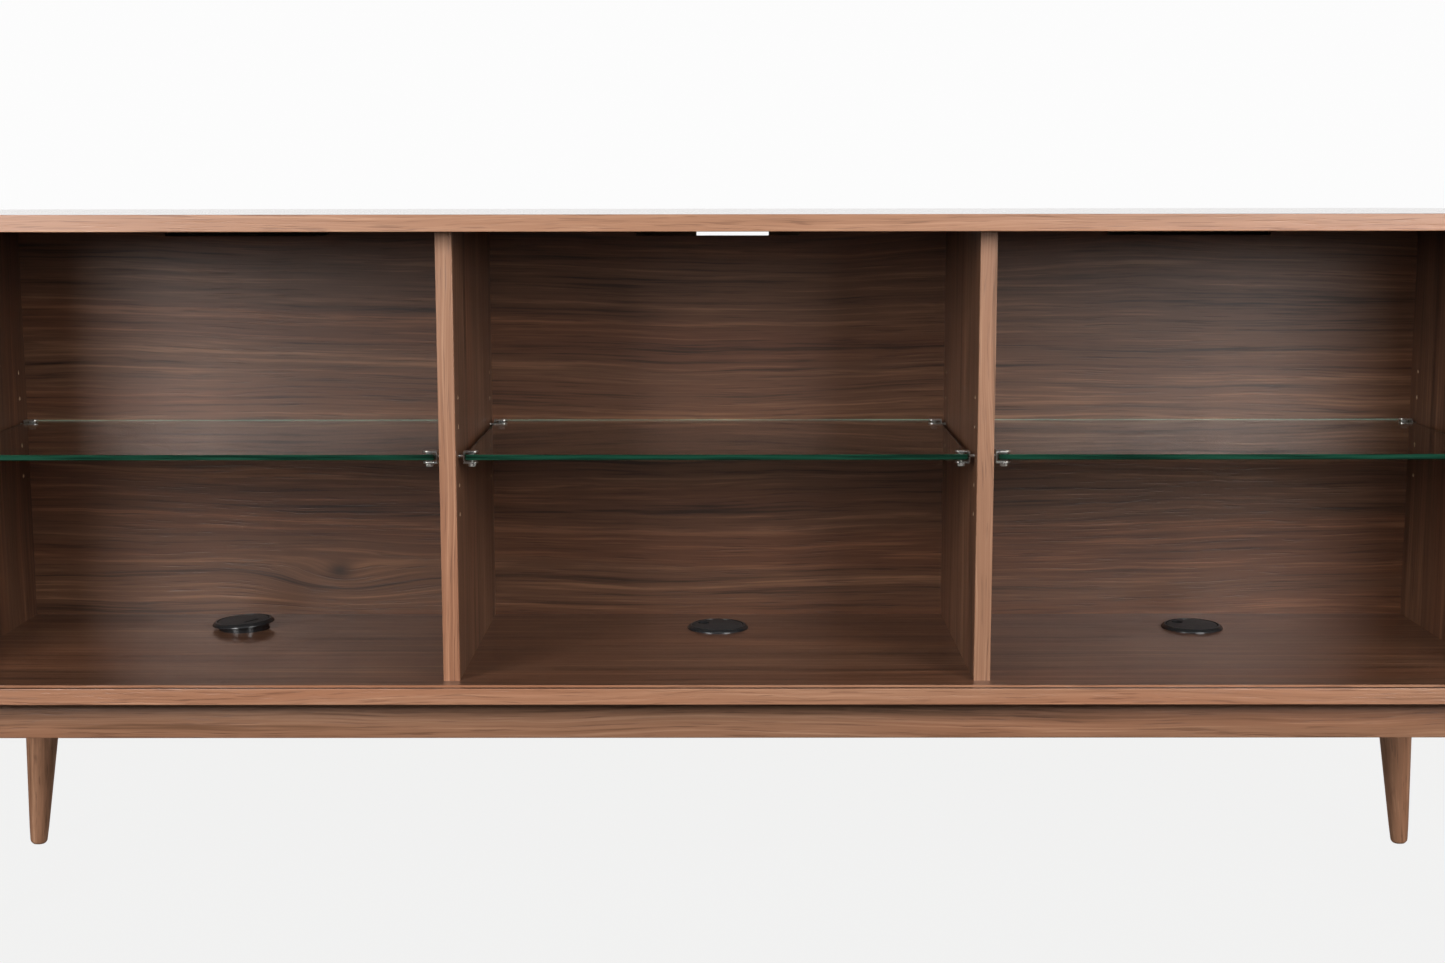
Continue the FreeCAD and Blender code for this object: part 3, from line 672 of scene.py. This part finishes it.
class SIDEBOARD_OT_boards(bpy.types.Operator):
    """Finish the panels, uprights, back and plinth in walnut"""

    bl_idname = "sideboard.boards"
    bl_label = "Panels, uprights and plinth"

    def execute(self, context):
        veneer, solid = veneer_tones(), solid_tones()
        # Lit and shaded copies of one veneer: the top panel brightened by 1.25 is painted light, and
        # the bottom panel darkened by 0.82 is painted shade on the bay floors.
        dress("top_panel", panel_material("top_panel_walnut", 0.7, shaded(veneer, 1.25), solid))
        dress("bottom_panel", panel_material("bottom_panel_walnut", 2.9, shaded(veneer, 0.82), solid))
        # Painted shade: the end panels are darkened to 0.74 and 0.76 and the right divider to 0.96, for
        # the shade on their inner faces.
        for number, (node, gain) in enumerate((("left_end_panel", 0.74), ("left_divider", 1.0),
                                               ("right_divider", 0.96), ("right_end_panel", 0.76))):
            dress(node, upright_material(node + "_walnut", shaded(veneer, gain), 4.3 + 1.7 * number))
        back_low, back_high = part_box("back_panel")
        knot = (-0.475, back_low.z + 0.115 * (back_high.z - back_low.z), 0.034)
        dress("back_panel", wood_material("back_panel_walnut", "XZY", veneer, 1.6, band=1.0, knot=knot))
        # Painted shade: the edge strips use the solid tones darkened by 0.86.
        strips = wood_material("edge_strip_walnut", "ZXY", shaded(solid, 0.86), 5.2, band=0.30,
                               contrast=3.4)
        dress("divider_edge_strips", strips)
        dress("end_panel_edge_strips", strips)
        for number, (node, axes) in enumerate((("front_apron", "XZY"), ("rear_apron", "XZY"),
                                               ("left_apron", "YZX"), ("right_apron", "YZX"))):
            material = wood_material(node + "_walnut", axes, solid, 6.1 + 2.3 * number, band=0.7)
            softened(node + "_board", node, BOARD_EDGE, material, CARCASS)
        rails = wood_material("cross_rail_walnut", "YZX", solid, 15.5)
        softened("apron_cross_rail_boards", "apron_cross_rails", BOARD_EDGE, rails, CARCASS)
        return {"FINISHED"}


# ---- legs ----

FOOT_RADIUS = 0.0106
LEG_TAPER = 0.0608
LEG_LENGTH = 0.265
TIP_ROUND = 0.006
LEG_SPLAY = 0.1138
FOOT_CLEAR = 0.0016
FOOT_BEVEL = 0.0008
GLIDE_RADIUS = 0.007


def leg_profile():
    """Half outline of a leg: round foot, long straight cone, flat head."""
    profile = quarter((FOOT_RADIUS - TIP_ROUND, TIP_ROUND), TIP_ROUND, -90.0, 8)
    profile = [(radius, height) for radius, height in profile if height > FOOT_CLEAR]
    profile.insert(0, (profile[0][0] - FOOT_BEVEL, FOOT_CLEAR))
    stations = 14
    for step in range(1, stations + 1):
        height = TIP_ROUND + (LEG_LENGTH - TIP_ROUND) * step / stations
        profile.append((FOOT_RADIUS + LEG_TAPER * height, height))
    return profile


def leg_place(foot, side_x, side_y):
    lean = Vector((-side_x * LEG_SPLAY, -side_y * LEG_SPLAY, 1.0)).normalized()
    return Matrix.Translation(foot) @ UP.rotation_difference(lean).to_matrix().to_4x4()


def leg_tones():
    # Painted light: the legs use the solid tones brightened by 1.28.
    return shaded(solid_tones(), 1.28)


class SIDEBOARD_OT_legs(bpy.types.Operator):
    """Turn the four splayed legs and finish their blocks and glides and the carcass dowels"""

    bl_idname = "sideboard.legs"
    bl_label = "Legs and their blocks"

    def execute(self, context):
        wood, fittings = settings().wood, settings().fittings
        glide_low, glide_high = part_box("foot_glides")
        number = 0
        for row, side_y, foot_y in (("front", -1, glide_low.y + GLIDE_RADIUS),
                                    ("rear", 1, glide_high.y - GLIDE_RADIUS)):
            for side, side_x, foot_x in (("left", -1, glide_low.x + GLIDE_RADIUS),
                                         ("right", 1, glide_high.x - GLIDE_RADIUS)):
                node = row + "_" + side + "_leg"
                shape = bmesh.new()
                lathe(shape, leg_profile(), 72)
                place = leg_place(Vector((foot_x, foot_y, 0.0)), side_x, side_y)
                bmesh.ops.transform(shape, matrix=place, verts=shape.verts)
                upright = place.to_3x3().inverted().to_euler()
                material = wood_material(node + "_walnut", "ZXY", leg_tones(), 20.3 + 3.1 * number,
                                         band=0.6, lean=upright)
                set_piece("turned_" + node, shape, [material], CARCASS, [node])
                number += 1
        tones = tuple(gained(wood.hardwood, gain) for gain in (0.75, 1.0, 1.15))
        softened("leg_wedge_blocks", "leg_blocks", BLOCK_EDGE,
                 wood_material("block_hardwood", "XYZ", tones, 31.0), CARCASS)
        dress("carcass_dowels", wood_material("dowel_hardwood", "ZXY", tones, 33.0))
        dress("foot_glides", moulded_material("glide_nylon", fittings.glide, 0.6, 0.5))
        return {"FINISHED"}


# ---- tambour doors ----

SLAT_CHAMFER = 0.0006


def door_point(distance):
    """Place and outward angle on the right-hand canvas line, measured from the middle of the back."""
    doors = settings().doors
    low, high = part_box("top_panel")
    half_x = high.x - doors.track_inset
    half_y = high.y - doors.track_inset
    radius = doors.corner_radius - doors.track_inset
    long_run, side_run = half_x - radius, 2.0 * (half_y - radius)
    corner_run = radius * math.pi / 2.0

    def on_corner(centre_y, outward):
        reach = radius * Vector((math.cos(outward), math.sin(outward), 0.0))
        return Vector((long_run, centre_y, 0.0)) + reach, outward

    if distance <= long_run:
        return Vector((distance, half_y, 0.0)), math.pi / 2.0
    distance -= long_run
    if distance <= corner_run:
        return on_corner(half_y - radius, math.pi / 2.0 - distance / radius)
    distance -= corner_run
    if distance <= side_run:
        return Vector((half_x, half_y - radius - distance, 0.0)), 0.0
    return on_corner(radius - half_y, -(distance - side_run) / radius)


def slat_outline(face, doors):
    """One slat in plan, outward then along the track: square at the canvas, rounded outside."""
    half, thick, turn = face / 2.0, doors.slat_thickness, doors.slat_round
    outline = [(0.0, -half), (thick - turn, -half)]
    outline += quarter((thick - turn, turn - half), turn, -90.0, 3)[1:]
    outline += quarter((thick - turn, half - turn), turn, 0.0, 3)
    outline.append((0.0, half))
    return outline


def add_slat(shape, layer, outline, distance, mirror, levels, tone):
    """One slat standing on the track, with its ends a little chamfered."""
    start, outward = door_point(distance)
    out = Vector((math.cos(outward), math.sin(outward), 0.0))
    along = Vector((-math.sin(outward), math.cos(outward), 0.0))
    low, high = levels
    rings = []
    for height, inset in ((low, SLAT_CHAMFER), (low + SLAT_CHAMFER, 0.0),
                          (high - SLAT_CHAMFER, 0.0), (high, SLAT_CHAMFER)):
        ring = []
        for depth, sideways in outline:
            depth = max(depth, inset)
            sideways -= math.copysign(min(inset, abs(sideways)), sideways)
            point = start + out * depth + along * sideways
            ring.append((-point.x if mirror else point.x, point.y, height))
        rings.append(ring)
    for face in loft(shape, rings):
        face[layer] = tone


class SIDEBOARD_OT_doors(bpy.types.Operator):
    """Make the two parked tambour doors: slats, canvas and lead stiles"""

    bl_idname = "sideboard.doors"
    bl_label = "Tambour doors"

    def execute(self, context):
        doors = settings().doors
        tones = between(veneer_tones(), solid_tones(), 0.5)
        slat_wood = sorted_piece_material("slat_walnut", "ZXY", tones, band=0.6)
        stile_wood = wood_material("stile_walnut", "ZXY", tones, 12.2, band=0.6)
        cloth = canvas_material()
        for side, mirror, loose in (("left", True, (0, 24, 25)), ("right", False, (0, 1))):
            node = side + "_tambour_slats"
            low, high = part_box(node)
            door_end = -high.x if mirror else low.x
            door_end -= (doors.slat_pitch - doors.loose_face) / 2.0
            picker = random.Random(1207 + len(side))
            shape = bmesh.new()
            layer = shape.faces.layers.float.new("piece_tone")
            for index in range(doors.slat_count):
                face = doors.loose_face if index in loose else doors.slat_face
                distance = door_end + doors.slat_pitch * (index + 0.5)
                add_slat(shape, layer, slat_outline(face, doors), distance, mirror, (low.z, high.z),
                         picker.random())
            set_piece(side + "_door_slats", shape, [slat_wood], CARCASS, [node])
            softened(side + "_door_lead_stile", side + "_lead_stile", STILE_EDGE, stile_wood,
                     CARCASS)
            dress(side + "_tambour_canvas", cloth)
        return {"FINISHED"}


# ---- glass shelves and their clamps ----

PANE_CORNER = 0.003
PANE_ARRIS = 0.0006
THUMB_HEAD = 0.0034
THUMB_SHAFT_RADIUS = 0.002
THUMB_EDGE = 0.0004
KNURL_DEPTH = 0.00035
COIN_SLOT_WIDTH = 0.001
COIN_SLOT_DEPTH = 0.001


def rounded_outline(low, high, radius, inset=0.0):
    """Plan of a pane with rounded corners, drawn in from its edges by the inset."""
    outline = []
    turn = radius - inset
    for x, y, start in ((high.x, high.y, 0.0), (low.x, high.y, 90.0), (low.x, low.y, 180.0),
                        (high.x, low.y, 270.0)):
        centre = (x - math.copysign(radius, x - (low.x + high.x) / 2.0),
                  y - math.copysign(radius, y - (low.y + high.y) / 2.0))
        outline += quarter(centre, turn, start, 5)
    return outline


def add_pane(shape, low, high, radius, arris):
    """A glass pane: clear faces, ground edges and the rear edge use materials 0, 1 and 2."""
    rings = []
    for height, inset in ((low.z, arris), (low.z + arris, 0.0), (high.z - arris, 0.0), (high.z, arris)):
        rings.append([(x, y, height) for x, y in rounded_outline(low, high, radius, inset)])
    faces = loft(shape, rings)
    for face in faces[:-2]:
        face.material_index = 2 if face.calc_center_median().y > high.y - arris else 1


def thumb_profile(low, high, shaft_top, head_radius, shaft_radius):
    """Half outline of a thumb screw: slotted head below, plain shaft above."""
    edge = THUMB_EDGE
    return [(head_radius - 2.0 * edge, low), (head_radius - edge / 2.0, low + edge / 2.0),
            (head_radius, low + 2.0 * edge), (head_radius, high - 2.0 * edge),
            (head_radius - edge / 2.0, high - edge / 2.0), (head_radius - 2.0 * edge, high),
            (shaft_radius + edge / 2.0, high), (shaft_radius, high + edge / 2.0),
            (shaft_radius, shaft_top - edge), (shaft_radius - edge, shaft_top)]


def thumb_screw_shape(node, knurls):
    """A knurled head on a short shaft, with a coin slot underneath, about its own axis."""
    low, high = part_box(node)
    head_radius = (high.x - low.x) / 2.0
    head_top = low.z + THUMB_HEAD

    def ridge(angle, radius, height):
        on_grip = radius > head_radius * 0.97 and low.z < height < head_top
        return radius - (KNURL_DEPTH * (0.5 + 0.5 * math.cos(knurls * angle)) if on_grip else 0.0)

    shape = bmesh.new()
    profile = thumb_profile(low.z, head_top, high.z, head_radius, THUMB_SHAFT_RADIUS)
    lathe(shape, profile, knurls * 6, ridge=ridge)
    slot = bmesh.new()
    half_slot = COIN_SLOT_WIDTH / 2.0
    box_shape(slot, (-2.0 * head_radius, -half_slot, low.z - COIN_SLOT_DEPTH),
              (2.0 * head_radius, half_slot, low.z + COIN_SLOT_DEPTH))
    return carved(shape, slot), Vector(((low.x + high.x) / 2.0, (low.y + high.y) / 2.0, 0.0))


class SIDEBOARD_OT_shelves(bpy.types.Operator):
    """Make the three glass shelves with their clear faces and green edges"""

    bl_idname = "sideboard.shelves"
    bl_label = "Glass shelves"

    def execute(self, context):
        fittings = settings().fittings
        # The rear edge has a brighter colour and a painted glow of strength 0.7.
        glass = [glass_body_material(), glass_edge_material("shelf_glass_edge", fittings.glass_edge),
                 glass_edge_material("shelf_glass_rear_edge_painted_glow", fittings.glass_rear_painted_glow, 0.7)]
        for bay in BAYS:
            node = bay + "_glass_shelf"
            low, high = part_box(node)
            shape = bmesh.new()
            add_pane(shape, low, high, PANE_CORNER, PANE_ARRIS)
            set_piece(bay + "_shelf_pane", shape, glass, node, [node])
        return {"FINISHED"}


class SIDEBOARD_OT_clamps(bpy.types.Operator):
    """Make the shelf clamps, their pads and the knurled thumb screws"""

    bl_idname = "sideboard.clamps"
    bl_label = "Shelf clamps and thumb screws"

    def execute(self, context):
        fittings = settings().fittings
        nickel = plated_material("nickel_plate", fittings.nickel, 0.26)
        pads = pad_material()
        for bay in BAYS:
            softened(bay + "_shelf_clamp_set", bay + "_shelf_clamps", CLAMP_EDGE, nickel, CARCASS)
            softened(bay + "_clamp_pad_set", bay + "_clamp_pads", PAD_EDGE, pads, CARCASS)
            for side in SIDES:
                for row in ("front", "rear"):
                    node = "_".join((bay, "bay", side, row, "thumb_screw"))
                    shape, axis = thumb_screw_shape(node, fittings.knurls)
                    set_piece(node + "_knurled", shape, [nickel], node, [node],
                              Matrix.Translation(axis), smooth_below=25.0)
        return {"FINISHED"}


# ---- cable grommets ----

def grommet_place(bay):
    """Where a grommet sits and how it leans, from the hinge its cap turns on."""
    hinge = next(joint for joint in frame["joints"] if joint["name"] == bay + "_grommet_cap_turn")
    lean = UP.rotation_difference(Vector(hinge["axis"])).to_matrix().to_4x4()
    return Matrix.Translation(Vector(hinge["pos_m"])) @ lean


FLANGE_RADIUS = 0.037
FLANGE_TOP = 0.0045
SEAT_RADIUS = 0.0308
SEAT_HEIGHT = 0.0014
SLEEVE_RADIUS = 0.030
SLEEVE_END = -0.017
BORE_RADIUS = 0.0282
CAP_TOP = 0.0041
CAP_RADIUS = 0.0304
CAP_THICKNESS = 0.0025
CAP_ROUND = 0.0006
CAP_FOOT_BEVEL = 0.0003
CUT_LOW = -0.004
CUT_HIGH = 0.008
CABLE_HOLE_RADIUS = 0.007
CABLE_HOLE_REACH = 0.020
FINGER_SLOT_HALF = 0.00875
FINGER_SLOT_END = 0.00225
FINGER_SLOT_REACH = 0.016
TURNED_SEGMENTS = 128


def liner_profile():
    """Half outline of the flanged sleeve, its domed rim rounded over."""
    rim = [(FLANGE_RADIUS, 0.0), (FLANGE_RADIUS, 0.0008), (0.0363, 0.0018), (0.0352, 0.0029),
           (0.0340, 0.0038), (0.0330, 0.0043), (0.0322, FLANGE_TOP), (0.0312, FLANGE_TOP),
           (0.0309, 0.0043), (SEAT_RADIUS, 0.0040), (SEAT_RADIUS, SEAT_HEIGHT),
           (BORE_RADIUS, SEAT_HEIGHT)]
    sleeve = [(BORE_RADIUS, SLEEVE_END + 0.0004), (BORE_RADIUS + 0.0004, SLEEVE_END),
              (SLEEVE_RADIUS - 0.0004, SLEEVE_END), (SLEEVE_RADIUS, SLEEVE_END + 0.0004),
              (SLEEVE_RADIUS, 0.0)]
    return rim + sleeve


def cap_shape(opening):
    """The turning cap: a flat disc with a softened rim and its opening cut through."""
    low = CAP_TOP - CAP_THICKNESS
    profile = [(0.0004, low), (CAP_RADIUS - CAP_FOOT_BEVEL, low), (CAP_RADIUS, low + CAP_FOOT_BEVEL)]
    profile += quarter((CAP_RADIUS - CAP_ROUND, CAP_TOP - CAP_ROUND), CAP_ROUND, 0.0, 4)
    profile.append((0.0004, CAP_TOP))
    shape = bmesh.new()
    lathe(shape, profile, TURNED_SEGMENTS)
    return carved(shape, opening)


def cable_opening(angle):
    """A round hole for a cable, off the middle of the cap."""
    shape = bmesh.new()
    lathe(shape, [(CABLE_HOLE_RADIUS, CUT_LOW), (CABLE_HOLE_RADIUS, CUT_HIGH)], 40)
    turn = math.radians(angle)
    bmesh.ops.translate(shape, verts=shape.verts,
                        vec=(CABLE_HOLE_REACH * math.cos(turn), CABLE_HOLE_REACH * math.sin(turn), 0.0))
    return shape


def finger_opening(angle):
    """A round-ended slot across the radius."""
    half = FINGER_SLOT_HALF
    outline = []
    for centre, start in ((half, 0.0), (half, 90.0), (-half, 180.0), (-half, 270.0)):
        outline += quarter((FINGER_SLOT_REACH, centre), FINGER_SLOT_END, start, 5)
    shape = bmesh.new()
    loft(shape, [[(x, y, z) for x, y in outline] for z in (CUT_LOW, CUT_HIGH)])
    bmesh.ops.remove_doubles(shape, verts=shape.verts, dist=1e-6)
    bmesh.ops.rotate(shape, verts=shape.verts, cent=(0.0, 0.0, 0.0),
                     matrix=Matrix.Rotation(math.radians(angle), 3, "Z"))
    return shape


class SIDEBOARD_OT_grommets(bpy.types.Operator):
    """Make the three cable grommets: flanged liner and turning cap"""

    bl_idname = "sideboard.grommets"
    bl_label = "Cable grommets"

    def execute(self, context):
        fittings = settings().fittings
        plastic = moulded_material("black_plastic", fittings.plastic, 0.55, 0.20)
        openings = {"left": (finger_opening, -41.0), "centre": (cable_opening, 150.0),
                    "right": (cable_opening, 140.0)}
        for bay in BAYS:
            place = grommet_place(bay)
            shape = bmesh.new()
            lathe(shape, liner_profile(), TURNED_SEGMENTS, closed=True)
            set_piece(bay + "_grommet_flange", shape, [plastic], CARCASS,
                      [bay + "_grommet_liner"], place)
            make_opening, angle = openings[bay]
            set_piece(bay + "_grommet_disc", cap_shape(make_opening(angle)), [plastic],
                      bay + "_grommet_cap", [bay + "_grommet_cap"], place)
        return {"FINISHED"}


# ---- screws and hidden hardware ----

BACK_SCREW_HEIGHTS = (0.345, 0.475, 0.610, 0.740)
BACK_SCREW_HEAD_RADIUS = 0.0035
BACK_SCREW_RADIUS = 0.00175
BACK_SCREW_LENGTH = 0.030


def cross_recess(radius, depth):
    """A cross-shaped driver recess centred on the Z axis, reaching below z = 0."""
    arm, half = radius * 0.55, radius * 0.13
    outline = []
    for turn in range(4):
        spin = Matrix.Rotation(math.radians(90.0 * turn), 2)
        outline += [spin @ Vector(point) for point in ((half, -half), (arm, -half), (arm, half))]
    shape = bmesh.new()
    loft(shape, [[(x * grow, y * grow, z) for x, y in outline]
                 for z, grow in ((-depth, 0.45), (depth, 1.0))])
    return shape


def pan_head_screw(head_radius, head_height, shank_radius, shank_length):
    """A pan head screw pointing down Z, its seat on z = 0."""
    shape = bmesh.new()
    profile = [(0.0002, -shank_length), (shank_radius, -shank_length * 0.86), (shank_radius, 0.0),
               (head_radius, 0.0), (head_radius, head_height * 0.45),
               (head_radius * 0.90, head_height * 0.78), (head_radius * 0.66, head_height * 0.96),
               (head_radius * 0.30, head_height)]
    lathe(shape, profile, 32)
    tool = cross_recess(head_radius, head_height * 0.6)
    bmesh.ops.translate(tool, verts=tool.verts, vec=(0.0, 0.0, head_height))
    return carved(shape, tool)


class SIDEBOARD_OT_screws(bpy.types.Operator):
    """Make the back screws and finish the hidden screws, inserts and bolts"""

    bl_idname = "sideboard.screws"
    bl_label = "Screws and bolts"

    def execute(self, context):
        zinc = plated_material("zinc_plate", settings().fittings.zinc, 0.34)
        _, back_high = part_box("back_panel")
        _, screw_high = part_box("back_screws")
        places = []
        picker = random.Random(733)
        for node in ("left_end_panel", "left_divider", "right_divider", "right_end_panel"):
            low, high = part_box(node)
            for height in BACK_SCREW_HEIGHTS:
                seat = Matrix.Translation(((low.x + high.x) / 2.0, back_high.y, height))
                spin = Matrix.Rotation(picker.uniform(0.0, math.pi / 2.0), 4, "Z")
                places.append(seat @ Matrix.Rotation(math.radians(-90.0), 4, "X") @ spin)
        shape = bmesh.new()
        screw = pan_head_screw(BACK_SCREW_HEAD_RADIUS, screw_high.y - back_high.y,
                               BACK_SCREW_RADIUS, BACK_SCREW_LENGTH)
        add_copies(shape, screw, places)
        set_piece("back_panel_screws", shape, [zinc], CARCASS, ["back_screws"])
        for node in ("leg_block_screws", "leg_inserts", "leg_hanger_bolts"):
            dress(node, zinc)
        return {"FINISHED"}


# ---- floor, light and camera ----

# Each side light: name, distance sideways and width.
SIDE_LIGHTS = (("left_soft_box", -1.45, 0.75), ("right_soft_box", 1.35, 0.95))
SIDE_LIGHT_IN_FRONT = 1.8
SIDE_LIGHT_HEIGHT = 1.32
FLOOR_SIDES = 120
# The camera's place to the right of the middle, and its small turns in degrees.
CAMERA_ASIDE = 0.01165
CAMERA_TURN = 0.134
CAMERA_DOWN = 8.227
CAMERA_ROLL = -0.064


def floor_material():
    stage = settings().stage
    material, bench, surface = new_material("pale_floor")
    cloudy = bench.ramp(bench.noise(bench.object_place(), detail=3.0, scale=1.5), 0.3, 0.7)
    shade = bench.mix(cloudy, gained(stage.floor_tone, 0.985), stage.floor_tone)
    surface.inputs["Roughness"].default_value = 0.8
    join_surface(bench, surface, {"Base Color": shade})
    lit = bench.add("Emission", {"Color": (1.0, 1.0, 0.995), "Strength": stage.floor_glow})
    seen = bench.add("LightPath", {}).outputs["Is Camera Ray"]
    glow = bench.times(seen, stage.floor_whiteness)
    mixed = bench.add("MixShader", {0: glow, 1: surface.outputs[0], 2: lit.outputs[0]})
    output = bench.tree.nodes["Material Output"]
    bench.tree.links.new(mixed.outputs[0], output.inputs["Surface"])
    return material


def make_room(strength):
    """A white room: plain white to the camera, graded from back to front for everything else."""
    world = bpy.data.worlds.new("white_room")
    world.use_nodes = True
    tree = world.node_tree
    tree.nodes.clear()
    bench = NodeBench(tree)
    direction = bench.parts(bench.add("TexCoord", {}).outputs["Generated"])
    towards_back = bench.ramp(direction[1], -0.1, 0.6, 0.018, 1.0)
    overhead = bench.ramp(direction[2], 0.30, 0.95, 0.0, 1.0)
    level = bench.times(towards_back, bench.ramp(overhead, 0.0, 1.0, 1.0, 0.55))
    grey = bench.vector(level, level, level)
    graded = bench.add("Background", {"Color": grey, "Strength": strength})
    white = bench.add("Background", {"Color": (0.975, 0.975, 0.975), "Strength": 1.0})
    seen = bench.add("LightPath", {}).outputs["Is Camera Ray"]
    mixed = bench.add("MixShader", {0: seen, 1: graded.outputs[0], 2: white.outputs[0]})
    output = bench.add("OutputWorld", {"Surface": mixed.outputs[0]})
    output.is_active_output = True
    bpy.context.scene.world = world


def soft_box(name, place, aim, size, power):
    light = bpy.data.lights.new(name, "AREA")
    light.shape = "RECTANGLE"
    light.size, light.size_y = size
    light.energy = power
    lamp = bpy.data.objects.new(name, light)
    lamp.location = place
    lamp.rotation_euler = (Vector(aim) - Vector(place)).to_track_quat("-Z", "Y").to_euler()
    bpy.context.scene.collection.objects.link(lamp)


class SIDEBOARD_OT_stage(bpy.types.Operator):
    """Lay the pale floor and set the lights and the camera"""

    bl_idname = "sideboard.stage"
    bl_label = "Floor, lights and camera"

    def execute(self, context):
        stage = settings().stage
        scene = context.scene
        shape = bmesh.new()
        rim = [Matrix.Rotation(2.0 * math.pi * step / FLOOR_SIDES, 3, "Z")
               @ Vector((stage.floor_radius, 0.0, 0.0)) for step in range(FLOOR_SIDES)]
        shape.faces.new([shape.verts.new(point) for point in rim])
        floor = as_object("studio_floor", shape)
        if floor.data.polygons[0].normal.z < 0.0:
            floor.data.flip_normals()
        floor.data.materials.append(floor_material())
        make_room(stage.sky_light)
        for name, sideways, width in SIDE_LIGHTS:
            soft_box(name, (sideways, -SIDE_LIGHT_IN_FRONT, SIDE_LIGHT_HEIGHT),
                     (0.4 * sideways, 0.0, 0.5), (width, 1.0), stage.key_power)
        soft_box("overhead_soft_box", (0.0, -1.7, 2.4), (0.0, -0.2, 0.3), (3.2, 1.2), stage.top_power)
        lens = bpy.data.cameras.new("main_camera")
        lens.lens = stage.lens
        lens.sensor_width = 36.0
        lens.dof.use_dof = False
        camera = bpy.data.objects.new("main_camera", lens)
        turn = (Matrix.Rotation(math.radians(CAMERA_TURN), 4, "Z")
                @ Matrix.Rotation(math.radians(90.0 - CAMERA_DOWN), 4, "X")
                @ Matrix.Rotation(math.radians(CAMERA_ROLL), 4, "Z"))
        place = Matrix.Translation((CAMERA_ASIDE, -stage.camera_distance, stage.camera_height))
        camera.matrix_world = place @ turn
        scene.collection.objects.link(camera)
        scene.camera = camera
        scene.view_settings.view_transform = "Standard"
        return {"FINISHED"}


# ---- add-on frame ----

MAKERS = (SIDEBOARD_OT_boards, SIDEBOARD_OT_legs, SIDEBOARD_OT_doors, SIDEBOARD_OT_shelves,
          SIDEBOARD_OT_clamps, SIDEBOARD_OT_grommets, SIDEBOARD_OT_screws, SIDEBOARD_OT_stage)
GROUPS = (("sideboard_wood", SideboardWoodSettings), ("sideboard_doors", SideboardDoorSettings),
          ("sideboard_fittings", SideboardFittingSettings), ("sideboard_stage", SideboardStageSettings))


class SIDEBOARD_PT_main(bpy.types.Panel):
    """Settings and makers of the sideboard"""

    bl_idname = "SIDEBOARD_PT_main"
    bl_label = "Tambour sideboard"
    bl_space_type = "VIEW_3D"
    bl_region_type = "UI"
    bl_category = "Sideboard"

    def draw(self, context):
        for label, group in GROUPS:
            box = self.layout.box()
            for key in group.__annotations__:
                box.prop(getattr(context.scene, label), key)
        for maker in MAKERS:
            self.layout.operator(maker.bl_idname)


def register():
    for group in (*(group for _, group in GROUPS), *MAKERS, SIDEBOARD_PT_main):
        bpy.utils.register_class(group)
    for label, group in GROUPS:
        setattr(bpy.types.Scene, label, PointerProperty(type=group))


def unregister():
    for label, _ in GROUPS:
        delattr(bpy.types.Scene, label)
    for group in (SIDEBOARD_PT_main, *reversed(MAKERS), *(group for _, group in reversed(GROUPS))):
        bpy.utils.unregister_class(group)


def main():
    register()
    for effect in EFFECTS:
        effect()
    for maker in MAKERS:
        package, name = maker.bl_idname.split(".")
        getattr(getattr(bpy.ops, package), name)()


if __name__ == "__main__":
    main()
